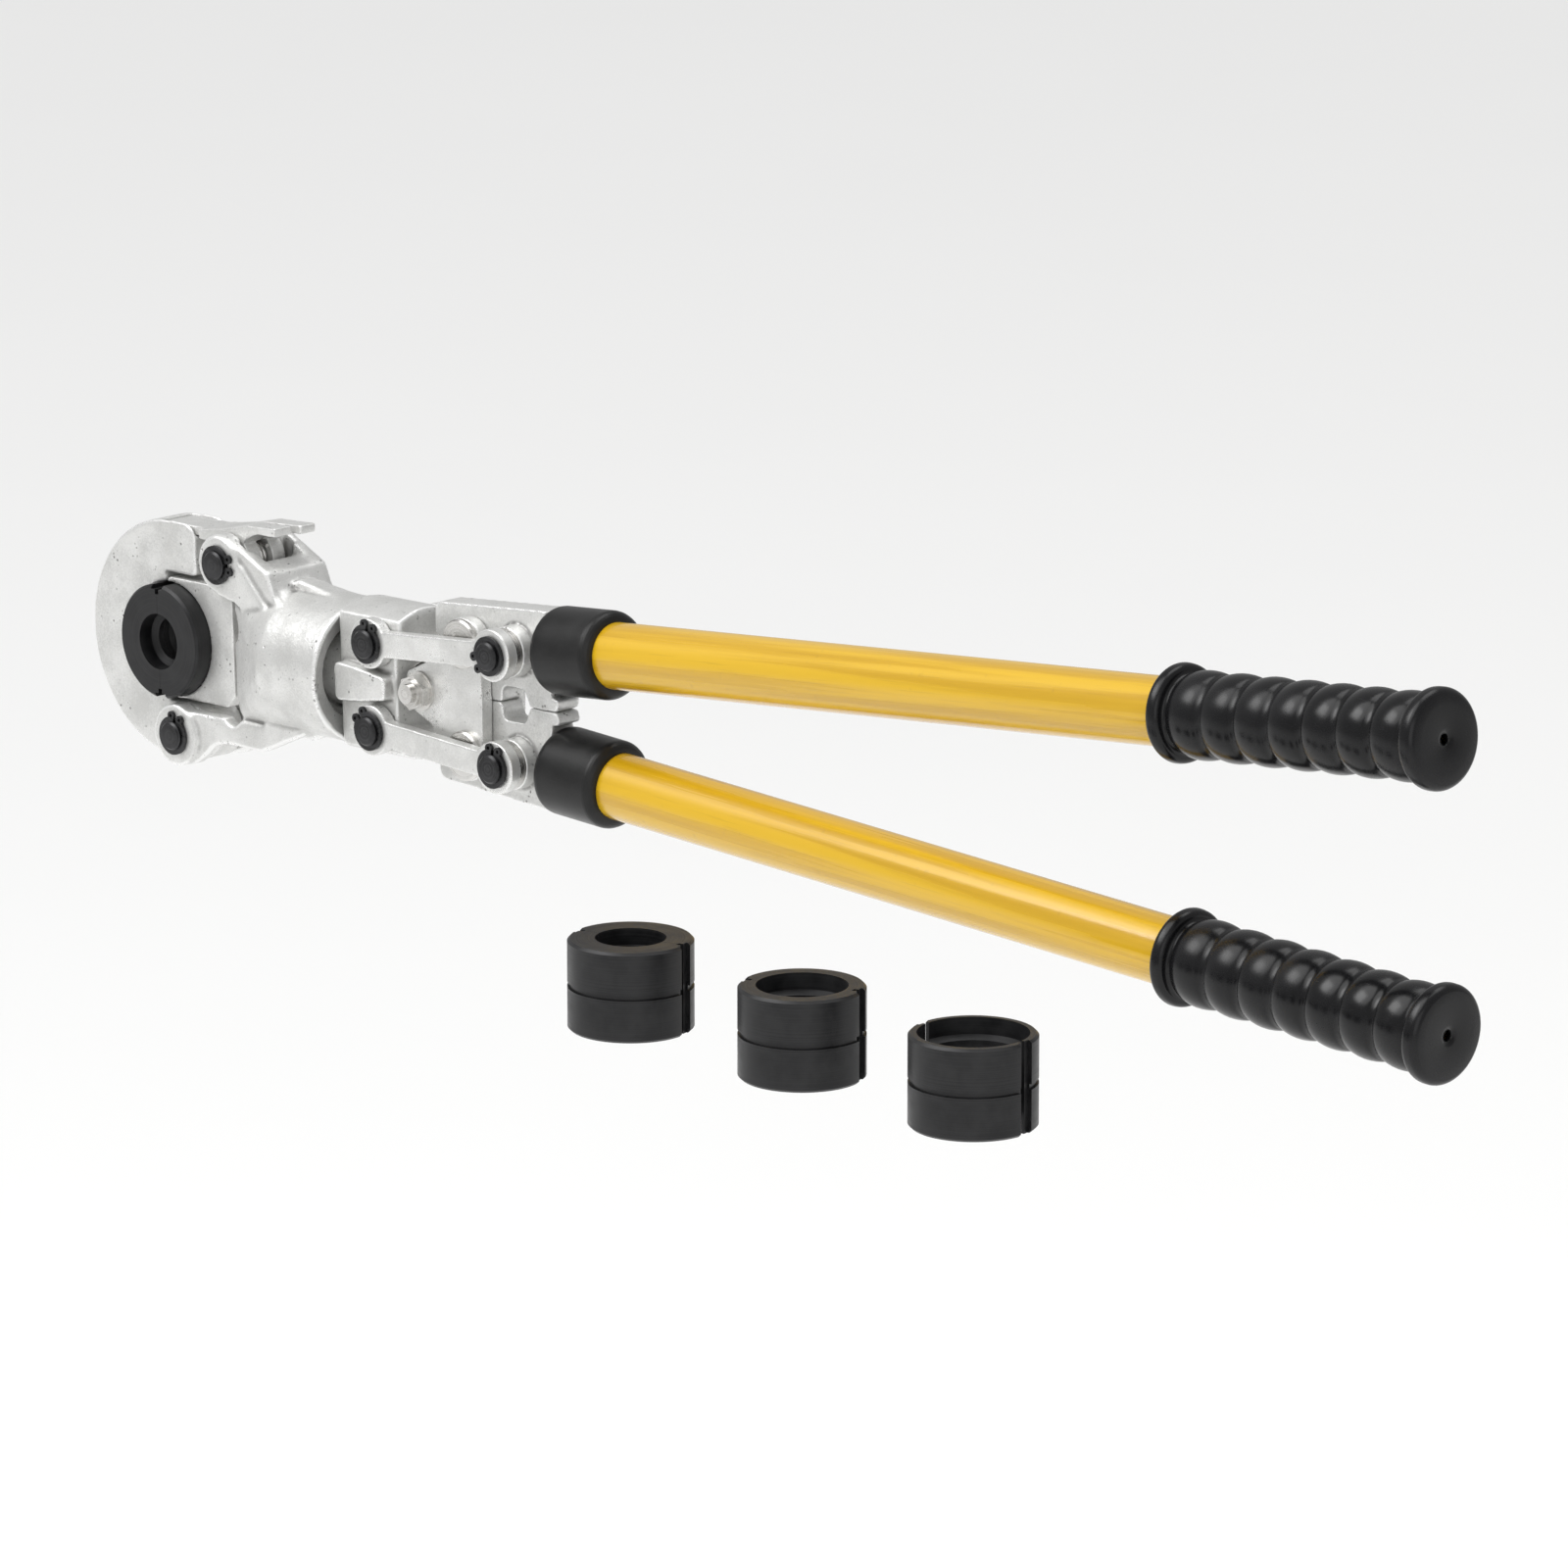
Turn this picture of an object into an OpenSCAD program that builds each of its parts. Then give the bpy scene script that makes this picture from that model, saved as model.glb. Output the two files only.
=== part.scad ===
// Hand-operated pipe press with a hinged C jaw, a toggle linkage, two long
// handles and three spare sets of dies. Millimetres.
// Working frame: origin at the middle of the die bore, +X along the tool to the
// grips, Y along every pivot pin, +Z to the upper handle. stand() then tilts
// the tool so that its lower ears and lower grip share one level.

/* [Dies] */
// Outside diameter of every die set
die_od = 48; // [46:0.5:50]
// Length of every die set along its bore
die_len = 35; // [30:1:40]
// Bore of the fitted die at its mouths
die_bore = 23.5; // [20:0.5:26]
// Mouth bores of the three spare sets
spare_bores = [27, 34.5, 41.5];
// Depth of the pressing beads below the mouth bore
bead_h = 2.9; // [2:0.1:3.2]
// Gap between the two halves of a set
die_gap = 0.1; // [0.1:0.1:1]
// Width of the locating groove round a die
groove_w = 2; // [1.5:0.1:3]
// Depth of the locating groove
groove_d = 1; // [0.6:0.1:1.4]
// Width of the relief notch over each parting line
notch_w = 6.5; // [4:0.5:8]
// Depth of the relief notch
notch_d = 2; // [1:0.1:2.6]

/* [Jaws] */
// Thickness of the C jaw and the sliding jaw
jaw_t = 19.4; // [16:0.2:20]
// Wall of the C jaw outside the die
jaw_wall = 26; // [24:0.5:28]
// Sliding jaw metal behind the die
jaw_back = 14; // [12:0.5:17]
// Metal between the die and the pivot pin's centre line
pivot_offset = 15.2; // [14.5:0.1:17]
// Direction of the C jaw pivot below the die axis, degrees
pivot_angle = -77.5; // [-80:0.5:-74]
// Radius of the eye round the C jaw pivot
jaw_eye_r = 12.4; // [11.5:0.1:12.6]
// Radial clearance of a die in its seat
seat_clear = 0.05; // [0.02:0.01:0.1]

/* [Head] */
// Length of the tapered block behind the jaws
core_len = 30; // [26:1:36]
// Length of the round neck
neck_len = 36; // [31:1:44]
// Outside radius of the neck
neck_r = 30; // [28:0.5:32]
// Widest radius of the dished mouth of the neck
mouth_r = 27; // [26:0.1:27.5]
// Bore radius for the yoke stem
stem_r = 20; // [18:0.5:22]
// Thickness of one fork cheek
cheek_t = 8; // [6:0.5:10]
// Side clearance between the jaws and a cheek
cheek_clear = 0.3; // [0.3:0.05:0.6]
// Travel left behind the sliding jaw
jaw_travel = 6; // [5:0.5:8]
// Radius of the lower ears
lower_ear_r = 13; // [12.8:0.1:14]
// Radius of the upper ears
upper_ear_r = 11.8; // [11:0.1:12.5]

/* [Pins] */
// Radius of every hardened pivot pin
pin_r = 6; // [5:0.25:6.5]
// Radial running clearance on a pin
pin_run = 0.06; // [0.03:0.01:0.09]
// Extra radius of the link eyes over the lever pins
toggle_play = 1.2; // [1.2:0.1:1.6]
// Thickness of a retaining ring
ring_t = 1.2; // [1:0.1:1.5]
// Length of pin beyond a retaining ring
pin_stub = 1.6; // [1:0.1:2.5]

/* [Linkage] */
// Outside radius of the yoke
yoke_r = 31.5; // [30:0.5:33]
// Half thickness of the yoke across its flats
yoke_flat = 15.4; // [15:0.1:16]
// Distance from the neck's end to the yoke pins
yoke_pin_x = 23.5; // [22:0.5:28]
// Height of the yoke pins above the tool axis
yoke_pin_z = 18; // [17:0.5:19]
// Distance from the yoke pins to the toggle pins
toggle_x = 47.5; // [46:0.5:54]
// Height of the toggle pins above the tool axis
toggle_z = 23; // [22:0.5:24]
// Distance from a toggle pin to its lever pin
crank = 25.8; // [25:0.1:29]
// Thickness of a link
link_t = 5.4; // [4.5:0.1:6]
// Radius of the link eyes
link_eye_r = 10.4; // [10:0.1:11]
// Width of the link bars
link_w = 10.6; // [9:0.2:13]
// Thickness of a centre plate
plate_t = 5.7; // [5:0.1:5.8]
// Radius of the push rod
rod_r = 8; // [7:0.5:8.5]

/* [Handles] */
// Thickness of a lever casting
lever_t = 12; // [10:0.5:12]
// Slope of a handle away from the tool axis, degrees
splay = 3.8; // [3:0.1:4.5]
// Height of a handle's axis where it meets the die's centre line
axis_z0 = 9.4; // [8.5:0.1:11]
// Distance from the die axis to the grip's outer end
handle_end = 703; // [560:1:900]
// Outside radius of the handle tube
tube_r = 13.5; // [12.5:0.1:14.5]
// Wall of the handle tube
tube_wall = 1.7; // [1.2:0.1:2]
// Outside radius of the collar
collar_r = 18; // [17.5:0.1:19]
// Length of the collar
collar_len = 34; // [28:1:45]
// Length of the grip
grip_len = 136; // [110:1:150]
// Radius over the grip's rings
grip_r = 17; // [16:0.1:18]
// Radius between the grip's rings
grip_root_r = 15.5; // [14.8:0.1:15.8]
// Radius of the grip's end flanges
flange_r = 19.3; // [18.5:0.1:21]
// Number of rings on the grip
grip_rings = 7; // [5:1:9]

/* [Hidden] */
$fn = 64;

silver = [0.82, 0.82, 0.80];
steel = [0.66, 0.66, 0.66];
black_oxide = [0.13, 0.13, 0.13];
amber = [0.93, 0.68, 0.08];
vinyl = [0.09, 0.09, 0.09];

far = 200;               // longer than any cut has to reach
cut = 0.5;               // how far a cutting tool stands proud of what it cuts
part_gap = 0.4;          // free space between pieces that pass each other

// Dies and jaws
die_r = die_od / 2;
seat_r = die_r + seat_clear;
ring_r = seat_r + jaw_wall;
jaw_back_x = seat_r + jaw_back;
jaw_pin_at = (seat_r + pivot_offset) * [cos(pivot_angle), sin(pivot_angle)];
block_z0 = seat_r + 4;           // underside of the C jaw's upper block
block_x1 = 16;                   // its right face
jaw_top_z = seat_r + 2;          // top of the sliding jaw
jaw_low_z = -seat_r - 0.6;       // bottom of the sliding jaw
c_face_x = -3.2;                 // where the C jaw's upper face ends
tooth_x = [3, 7.5];              // the latch tooth's two sides
tooth_drop = 3.2;                // how far the tooth reaches below the nose
nose_x0 = -5;                    // free end of the latch's nose
nose_half = 7.5;                 // half its width
nose_t = 3.9;                    // its thickness
detent_r = 1.5;
detent_depth = 6;

// Head
neck_x0 = jaw_back_x + jaw_travel + core_len;
neck_end = neck_x0 + neck_len;
cheek_y0 = jaw_t / 2 + cheek_clear;
cheek_y1 = cheek_y0 + cheek_t;
stop_x = jaw_back_x + jaw_travel;
core_z0 = -seat_r - 2;
core_z1 = seat_r - 3;
stem_x0 = neck_x0 + 6;
screw_x = neck_end - 17;
screw_turn = [-90, 180];          // set screws: behind and below
latch_pin_at = [jaw_back_x + 1.2, seat_r + 13.6];
nose_z = latch_pin_at[1] + 7.55; // underside of the latch's nose
pad_t = 1.5;                     // how far the ears' pads stand out
cheek_base_y = cheek_y1 - pad_t;
web_x = latch_pin_at[0] + 14.75; // front face of the web behind the latch
web_half = 13;
hub_r = upper_ear_r - 0.5;
spring_slot = 2.9;               // half width of the spring's slot in the hub
spring_wire = 0.8;
spring_r = 7.6;                  // coil radius at the middle of the wire
mouth_depth = 5;
undercut_r = 15.2;               // stem radius between its thread and the yoke
undercut_x0 = neck_end - 13;

// Linkage
yoke_x0 = neck_end + 0.2;
yoke_pin_at = [neck_end + yoke_pin_x, yoke_pin_z];
yoke_x1 = yoke_pin_at[0] + 13.5;
yoke_face_x = yoke_x1 - 3;
toggle_at = yoke_pin_at + [toggle_x, toggle_z - yoke_pin_z];
lever_pin_at = toggle_at + [crank, 0];
bolt_x = toggle_at[0] - 26;
plate_y0 = lever_t / 2 + 0.3;
plate_y1 = plate_y0 + plate_t;
link_y0 = yoke_flat + 0.4;
link_y1 = link_y0 + link_t;
ring_y = link_y1 + 0.3;
pin_y = ring_y + ring_t + pin_stub;
head_ring_y = cheek_y1 + 0.1;
head_pin_y = head_ring_y + ring_t + pin_stub;
boss_y = link_y0 - 3.4;          // front of the lever's boss, where the spacer starts
rivet_head_r = 10.2;
rivet_head_t = 2.6;
tang_z = 7;

// Handles
collar_x0 = lever_pin_at[0] + 18;   // along the handle's own axis
collar_x1 = collar_x0 + collar_len;
tube_x0 = collar_x0 + 6;
tube_in = tube_r - tube_wall;
tenon_z = sqrt(pow(tube_in, 2) - pow(lever_t / 2, 2)) - 0.2;
tenon_x1 = collar_x1 + 4;
grip_x1 = handle_end;
grip_x0 = grip_x1 - grip_len;
cap_t = 3;
front_flange_t = 6;
end_flange_t = 8;
flange_edge_r = 3;
stop_z = 0.15;                      // half the gap between the two closed levers

// The level that the lower ears and the lower grip stand on
rim_x = grip_x1 - end_flange_t / 2;
rim_centre = [rim_x * cos(splay), -axis_z0 - rim_x * sin(splay)]
    - (flange_r - flange_edge_r) * [sin(splay), cos(splay)];
foot = rim_centre - jaw_pin_at;
tilt = asin((flange_edge_r - lower_ear_r) / norm(foot)) - atan2(foot[1], foot[0]);
floor_z = jaw_pin_at[0] * sin(tilt) + jaw_pin_at[1] * cos(tilt) - lower_ear_r;

// Spare sets: place on the floor, and the direction of the parting line
spare_at = [[433, -160], [526, -161], [616, -162]];
spare_turn = [17, 25, 9];

// ---- helpers ----

module stand() { rotate([0, -tilt, 0]) children(); }

// An outline drawn in X and Z, extruded from y0 to y1
module slab(y0, y1) { translate([0, y1, 0]) rotate([90, 0, 0]) linear_extrude(y1 - y0) children(); }

module both_sides(y0, y1) { slab(y0, y1) children(); slab(-y1, -y0) children(); }

module bar_y(at, r, y0, y1) { translate([at[0], y0, at[1]]) rotate([-90, 0, 0]) cylinder(r = r, h = y1 - y0); }

module bar_x(r, x0, x1) { translate([x0, 0, 0]) rotate([0, 90, 0]) cylinder(r = r, h = x1 - x0); }

module lower() { mirror([0, 0, 1]) children(); }

// The upper handle's own frame: +X along its tube
module on_handle() { translate([0, 0, axis_z0]) rotate([0, -splay, 0]) children(); }

// Points of one rounded corner at b, between a and c
function corner(a, b, c, r) =
    let (u = (a - b) / norm(a - b), v = (c - b) / norm(c - b), half = acos(u * v) / 2,
         centre = b + (u + v) / norm(u + v) * r / sin(half),
         s = b + u * r / tan(half) - centre, e = b + v * r / tan(half) - centre,
         a0 = atan2(s[1], s[0]), turn = (atan2(e[1], e[0]) - a0 + 540) % 360 - 180)
    [for (i = [0 : 6]) centre + r * [cos(a0 + turn * i / 6), sin(a0 + turn * i / 6)]];

// An outline whose points are [x, z, corner radius]
function rounded(p) = [for (i = [0 : len(p) - 1])
    let (a = p[(i + len(p) - 1) % len(p)], b = p[i], c = p[(i + 1) % len(p)])
    each b[2] == 0 ? [[b[0], b[1]]] : corner([a[0], a[1]], [b[0], b[1]], [c[0], c[1]], b[2])];

// A straight strip of width w between two points
module strip(a, b, w) {
    n = [a[1] - b[1], b[0] - a[0]] / norm(b - a) * w / 2;
    polygon([a + n, a - n, b - n, b + n]);
}

// A pin with chamfered ends and a groove for a retaining ring at each end
module grooved_pin(at, half_len, ring_at) {
    chamfer = 0.8;
    groove = 0.5;
    translate([at[0], 0, at[1]]) rotate([90, 0, 0]) rotate_extrude() polygon([
        [0, -half_len], [pin_r - chamfer, -half_len], [pin_r, -half_len + chamfer],
        [pin_r, -ring_at - ring_t], [pin_r - groove, -ring_at - ring_t],
        [pin_r - groove, -ring_at], [pin_r, -ring_at],
        [pin_r, ring_at], [pin_r - groove, ring_at],
        [pin_r - groove, ring_at + ring_t], [pin_r, ring_at + ring_t],
        [pin_r, half_len - chamfer], [pin_r - chamfer, half_len], [0, half_len]]);
}

// An open retaining ring with two lugs, its mouth towards turn degrees
module retaining_ring(at, y0, turn) {
    lug_r = 1.9;
    slab(y0, y0 + ring_t) translate(at) rotate(turn) difference() {
        union() {
            circle(pin_r + 2.1);
            for (s = [-1, 1]) translate([pin_r + 2, s * 2.6]) circle(lug_r);
            for (s = [-1, 1]) translate([pin_r - 1, s * 2.6 - lug_r / 2]) square([4.4, lug_r]);
        }
        circle(pin_r - 0.45);
        translate([pin_r - 2, -0.8]) square([8, 1.6]);
        for (s = [-1, 1]) translate([pin_r + 2.1, s * 2.7]) circle(0.75, $fn = 24);
    }
}

module ring_pair(at, y0, turn) {
    retaining_ring(at, y0, turn);
    retaining_ring(at, -y0 - ring_t, turn);
}

// ---- dies ----

// A die set along Z: beads between two open mouths, chamfered ends, one groove
module die_ring(bore) {
    mouth = bore / 2;
    land = mouth - min(bead_h, mouth / 3);
    valley = land + 1.2;
    chamfer = 1;
    h = die_len / 2;
    rotate_extrude($fn = 96) polygon([
        [mouth, -h], [die_r - chamfer, -h], [die_r, -h + chamfer],
        [die_r, -groove_w / 2], [die_r - groove_d, -groove_w / 2],
        [die_r - groove_d, groove_w / 2], [die_r, groove_w / 2],
        [die_r, h - chamfer], [die_r - chamfer, h], [mouth, h],
        [mouth, h - 6.5], [land, h - 8], [land, h - 10.5], [valley, h - 12],
        [valley, 3], [land, 1.5], [land, -1.5], [valley, -3],
        [valley, -h + 12], [land, -h + 10.5], [land, -h + 8], [mouth, -h + 6.5]]);
}

// One half of a set, parted on the plane Y = 0, with stepped notches at the outside
module die_half(bore) {
    difference() {
        die_ring(bore);
        translate([-far / 2, -far + die_gap / 2, -far / 2]) cube([far, far, far]);
        for (s = [-1, 1]) translate([s * die_r, 0, 0]) {
            cube([2 * notch_d, notch_w, die_len + 2 * cut], center = true);
            cube([4 * notch_d, notch_w / 3, die_len + 2 * cut], center = true);
        }
    }
}

// The fitted set lies along Y and parts left from right
module fitted_half(side) { rotate([90, 0, 0]) rotate([0, 0, side * 90]) die_half(die_bore); }

module c_jaw_die() { color(black_oxide) fitted_half(1); }

module sliding_jaw_die() { color(black_oxide) fitted_half(-1); }

module spare_half(i, half) {
    color(black_oxide) translate([spare_at[i][0], spare_at[i][1], floor_z + die_len / 2])
        rotate([0, 0, spare_turn[i] + 180 * half]) die_half(spare_bores[i]);
}

// ---- jaws ----

module c_jaw() {
    channel_z = nose_z - part_gap;
    channel_half = nose_half + part_gap;
    color(silver) difference() {
        slab(-jaw_t / 2, jaw_t / 2) difference() {
            union() {
                intersection() {
                    circle(ring_r, $fn = 128);
                    polygon([[-far, -far], [c_face_x, -far], [c_face_x, block_z0],
                        [0, block_z0], [0, far], [-far, far]]);
                }
                polygon(rounded([[-1, block_z0, 0], [block_x1, block_z0, 2.5],
                    [block_x1, ring_r, 7.2], [0, ring_r, 0], [-1, ring_r - 0.5, 0]]));
                intersection() {
                    circle(ring_r, $fn = 128);
                    translate([c_face_x - 1, -far]) square([jaw_pin_at[0] - c_face_x + 1, far - seat_r - 2.2]);
                }
                translate(jaw_pin_at) circle(jaw_eye_r);
            }
            circle(seat_r);
            translate(jaw_pin_at) circle(pin_r + pin_run);
        }
        // Channel for the latch's nose and a deeper pocket for its tooth
        slab(-channel_half, channel_half) {
            translate([nose_x0 - part_gap, channel_z]) square([far, far]);
            translate([tooth_x[0] - part_gap, channel_z - tooth_drop])
                square([tooth_x[1] - tooth_x[0] + 2 * part_gap, far]);
        }
        bar_x(detent_r, -seat_r - detent_depth, -seat_r + cut);
    }
}

// A short dowel in the jaw, its reduced tip in the die's groove
module sliding_jaw_detent() {
    color(steel) {
        bar_x(groove_w / 2 - 0.1, die_r - groove_d + 0.05, seat_r + 1);
        bar_x(detent_r, seat_r + 0.2, seat_r + detent_depth);
    }
}

module c_jaw_detent() { mirror([1, 0, 0]) sliding_jaw_detent(); }

module sliding_jaw() {
    rod_socket = 8;
    color(silver) difference() {
        slab(-jaw_t / 2, jaw_t / 2) difference() {
            polygon(rounded([[-1.8, seat_r - 3, 0], [1.2, 0, 0], [1.2, jaw_low_z, 0],
                [jaw_back_x - 5, jaw_low_z, 1.5], [jaw_back_x, jaw_low_z + 5, 1.5],
                [jaw_back_x, jaw_top_z, 4], [-1.8, jaw_top_z, 1.6]]));
            circle(seat_r);
        }
        bar_x(detent_r, seat_r - cut, seat_r + detent_depth);
        bar_x(rod_r, jaw_back_x - rod_socket, jaw_back_x + cut);
    }
}

// ---- head ----

// Lower arm: from the C jaw's pivot back under the neck
module lower_arm() {
    p = jaw_pin_at;
    difference() {
        union() {
            translate(p) circle(lower_ear_r);
            polygon(rounded([[p[0], p[1], 0], [p[0] + 3, -seat_r - 3.2, 3], [neck_x0 - 12, -seat_r - 3.2, 3],
                [neck_x0 + 4, -neck_r + 12, 0], [neck_x0 + 14, -neck_r + 8, 0],
                [neck_x0 + 14, -neck_r + 2.6, 0],
                [neck_x0 - 12, p[1], 6], [p[0] + 29.5, p[1], 8], [p[0] + 23.5, p[1] - 1.3, 8],
                [p[0] + 17.5, p[1] - 6.5, 8], [p[0] + 10.5, p[1] - 11, 8], [p[0] + 4.5, p[1] - 12.15, 0]]));
        }
        translate(p) circle(pin_r);
    }
}

// Upper arm: from the latch's pivot down to the neck
module upper_arm() {
    q = latch_pin_at;
    difference() {
        union() {
            translate(q) circle(upper_ear_r + 0.8);
            polygon(rounded([[q[0], q[1], 0], [q[0] - 9.2, q[1] - 8.55, 0], [q[0] + 0.8, seat_r + 0.4, 4],
                [stop_x + 6, seat_r - 1.6, 6], [neck_x0 + 4, neck_r - 20, 0], [neck_x0 + 8, neck_r - 8, 0],
                [neck_x0 - 2, neck_r - 2, 3], [neck_x0 - 6, q[1] - 0.2, 2], [q[0] + 5.7, q[1] + 11.2, 0]]));
        }
        translate(q) circle(pin_r);
    }
}

// Raised pads on the outsides of the two arms
module upper_pad() {
    q = latch_pin_at;
    difference() {
        union() {
            translate(q) circle(upper_ear_r);
            polygon(rounded([[q[0], q[1], 0], [q[0] - 8.6, q[1] - 8, 0], [q[0] + 0.8, seat_r + 0.4, 4],
                [stop_x + 6, seat_r - 1.6, 6], [neck_x0 - 14, neck_r - 15, 0], [neck_x0, neck_r - 16, 0],
                [neck_x0, neck_r - 12.4, 0], [neck_x0 - 8.2, seat_r + 1.3, 8],
                [q[0] + 16.4, q[1] - 1.6, 8], [q[0] + 3.2, q[1] + 9.6, 0]]));
        }
        translate(q) circle(pin_r);
    }
}

module lower_pad() {
    translate(jaw_pin_at) difference() {
        circle(lower_ear_r);
        circle(pin_r);
    }
}

module head_body() {
    q = latch_pin_at;
    lip = 1.5;
    pocket_x0 = q[0] + 7.2;
    pocket_half = web_half - 0.5;
    color(silver) difference() {
        union() {
            both_sides(cheek_y0, cheek_base_y) lower_arm();
            both_sides(cheek_y0, cheek_base_y) upper_arm();
            both_sides(cheek_y0, cheek_y1) upper_pad();
            both_sides(cheek_y0, cheek_y1) lower_pad();
            // From the block behind the jaws out to the round neck
            hull() {
                translate([stop_x, -14, core_z0]) cube([12, 28, core_z1 - core_z0]);
                bar_x(neck_r, neck_x0 + 1, neck_x0 + 2);
            }
            bar_x(neck_r, neck_x0 + 1, neck_end);
            // Web behind the latch, and the rib that carries it on over the neck
            slab(-web_half, web_half) polygon(rounded([[web_x, core_z0 + 30, 0], [web_x, q[1] + 1, 1],
                [web_x + 5.2, q[1] + 2.6, 2], [neck_x0 - 6, q[1] - 0.2, 3], [neck_x0 - 2, neck_r, 2],
                [neck_x0 + 8, neck_r - 6, 0], [neck_x0 + 8, core_z0 + 30, 0]]));
            slab(-5, 5) polygon(rounded([[neck_x0 - 4, neck_r - 5, 0], [neck_x0 - 2, neck_r + 4, 2],
                [neck_x0 + 10, neck_r + 2.2, 6], [neck_x0 + 25, neck_r + 0.2, 0],
                [neck_x0 + 25, neck_r - 5, 0]]));
        }
        // Dished mouth of the neck, the yoke's seat and the push rod's way through
        translate([neck_end - mouth_depth, 0, 0]) rotate([0, 90, 0])
            cylinder(r1 = stem_r, r2 = mouth_r, h = mouth_depth - lip);
        translate([neck_end - lip, 0, 0]) rotate([0, 90, 0])
            cylinder(r1 = mouth_r, r2 = mouth_r + lip + cut, h = lip + cut);
        bar_x(stem_r, stem_x0, neck_end);
        bar_x(rod_r + part_gap, stop_x - cut, stem_x0 + 1);
        // Finger recesses cast behind the sliding jaw
        bar_y([stop_x - 2, 12], 7, -far / 2, far / 2);
        bar_y([stop_x - 1, -seat_r - 1], 5, -far / 2, far / 2);
        // Pocket in front of the web, beside the latch's hub
        slab(-pocket_half, pocket_half) translate([pocket_x0, seat_r + 4]) square([web_x - pocket_x0, far]);
        // Two set screws lock the stem, from behind and from below
        for (a = screw_turn) translate([screw_x, 0, 0]) rotate([a, 0, 0]) cylinder(r = 3, h = far);
    }
}

module neck_set_screws() {
    color(steel) for (a = screw_turn) translate([screw_x, 0, 0]) rotate([a, 0, 0])
        translate([0, 0, stem_r - 2]) difference() {
            cylinder(r = 2.98, h = neck_r - stem_r + 1);
            translate([0, 0, neck_r - stem_r - 2]) cylinder(r = 1.7, h = 4, $fn = 6);
        }
}

module latch_pin() { color(black_oxide) grooved_pin(latch_pin_at, head_pin_y, head_ring_y); }

module jaw_pin() { color(black_oxide) grooved_pin(jaw_pin_at, head_pin_y, head_ring_y); }

module head_rings() {
    color(black_oxide) {
        ring_pair(latch_pin_at, head_ring_y, 5);
        ring_pair(jaw_pin_at, head_ring_y, 75);
    }
}

module latch_lever() {
    q = latch_pin_at;
    half = jaw_t / 2;
    body_x0 = q[0] - 20.2;
    front_x1 = q[0] + 27;
    back_x1 = q[0] + 30.5;
    slit_x0 = q[0] - 8.2;
    color(silver) difference() {
        union() {
            // Hub, body and tail
            slab(-half, half) {
                translate(q) circle(hub_r);
                polygon(rounded([[body_x0, q[1] + 6.9, 0.6], [q[0] - 9, q[1] + 6.9, 0], [q[0] - 6, q[1], 0],
                    [q[0] + 6, q[1], 0], [q[0] + 8, q[1] + 9.4, 2.5], [q[0] + 13, q[1] + 12.3, 5],
                    [q[0] + 16, q[1] + 13.4, 5], [back_x1, q[1] + 13.4, 1], [back_x1, q[1] + 17.2, 1],
                    [q[0] + 23.8, q[1] + 16.8, 8], [q[0] + 9.2, q[1] + 16.3, 14], [q[0] - 4.6, q[1] + 13.2, 20],
                    [body_x0 + 3, q[1] + 11.4, 8], [body_x0, q[1] + 11.3, 0.8]]));
            }
            // Nose with its tooth
            slab(-nose_half, nose_half) polygon(rounded([[nose_x0, nose_z, 0.8], [tooth_x[0], nose_z, 0],
                [tooth_x[0], nose_z - tooth_drop, 0.6], [tooth_x[1] - 0.6, nose_z - tooth_drop, 0.6],
                [tooth_x[1], nose_z, 0], [body_x0 + 1, nose_z, 0], [body_x0 + 1, nose_z + nose_t, 0],
                [nose_x0, nose_z + nose_t, 2]]));
        }
        bar_y(q, pin_r + pin_run, -far / 2, far / 2);
        // Slot for the spring round the pin
        slab(-spring_slot, spring_slot) intersection() {
            translate(q) circle(hub_r + 0.7);
            translate([-far, -far]) square([2 * far, far + q[1] + 8.7]);
        }
        // The slit and the shorter front finger
        translate([0, 0, q[1] + 8]) linear_extrude(30) {
            polygon([[slit_x0, 0], [back_x1 + 1, -0.5], [back_x1 + 1, 1.7], [slit_x0, 0.3]]);
            translate([front_x1, -far]) square([far, far]);
        }
    }
}

// A torsion spring round the latch pin: one leg bears on the web, the other lies
// under the latch's tail
module latch_spring() {
    pitch = 1.7;
    lean = 10;
    q = latch_pin_at;
    color(steel) translate([q[0], 0, q[1]]) {
        rotate([90, 0, 0]) {
            for (i = [-1 : 1]) translate([0, 0, i * pitch])
                rotate_extrude() translate([spring_r, 0]) circle(spring_wire, $fn = 24);
            translate([-spring_r, 0, -pitch]) cylinder(r = spring_wire * 0.8, h = 2 * pitch, $fn = 24);
        }
        translate([0, -pitch, -spring_r]) rotate([0, 90, 0])
            cylinder(r = spring_wire, h = web_x - q[0], $fn = 24);
        rotate([0, lean, 0]) translate([0, pitch, spring_r]) rotate([0, 90, 0])
            cylinder(r = spring_wire, h = 8, $fn = 24);
    }
}

// ---- yoke and push rod ----

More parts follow.
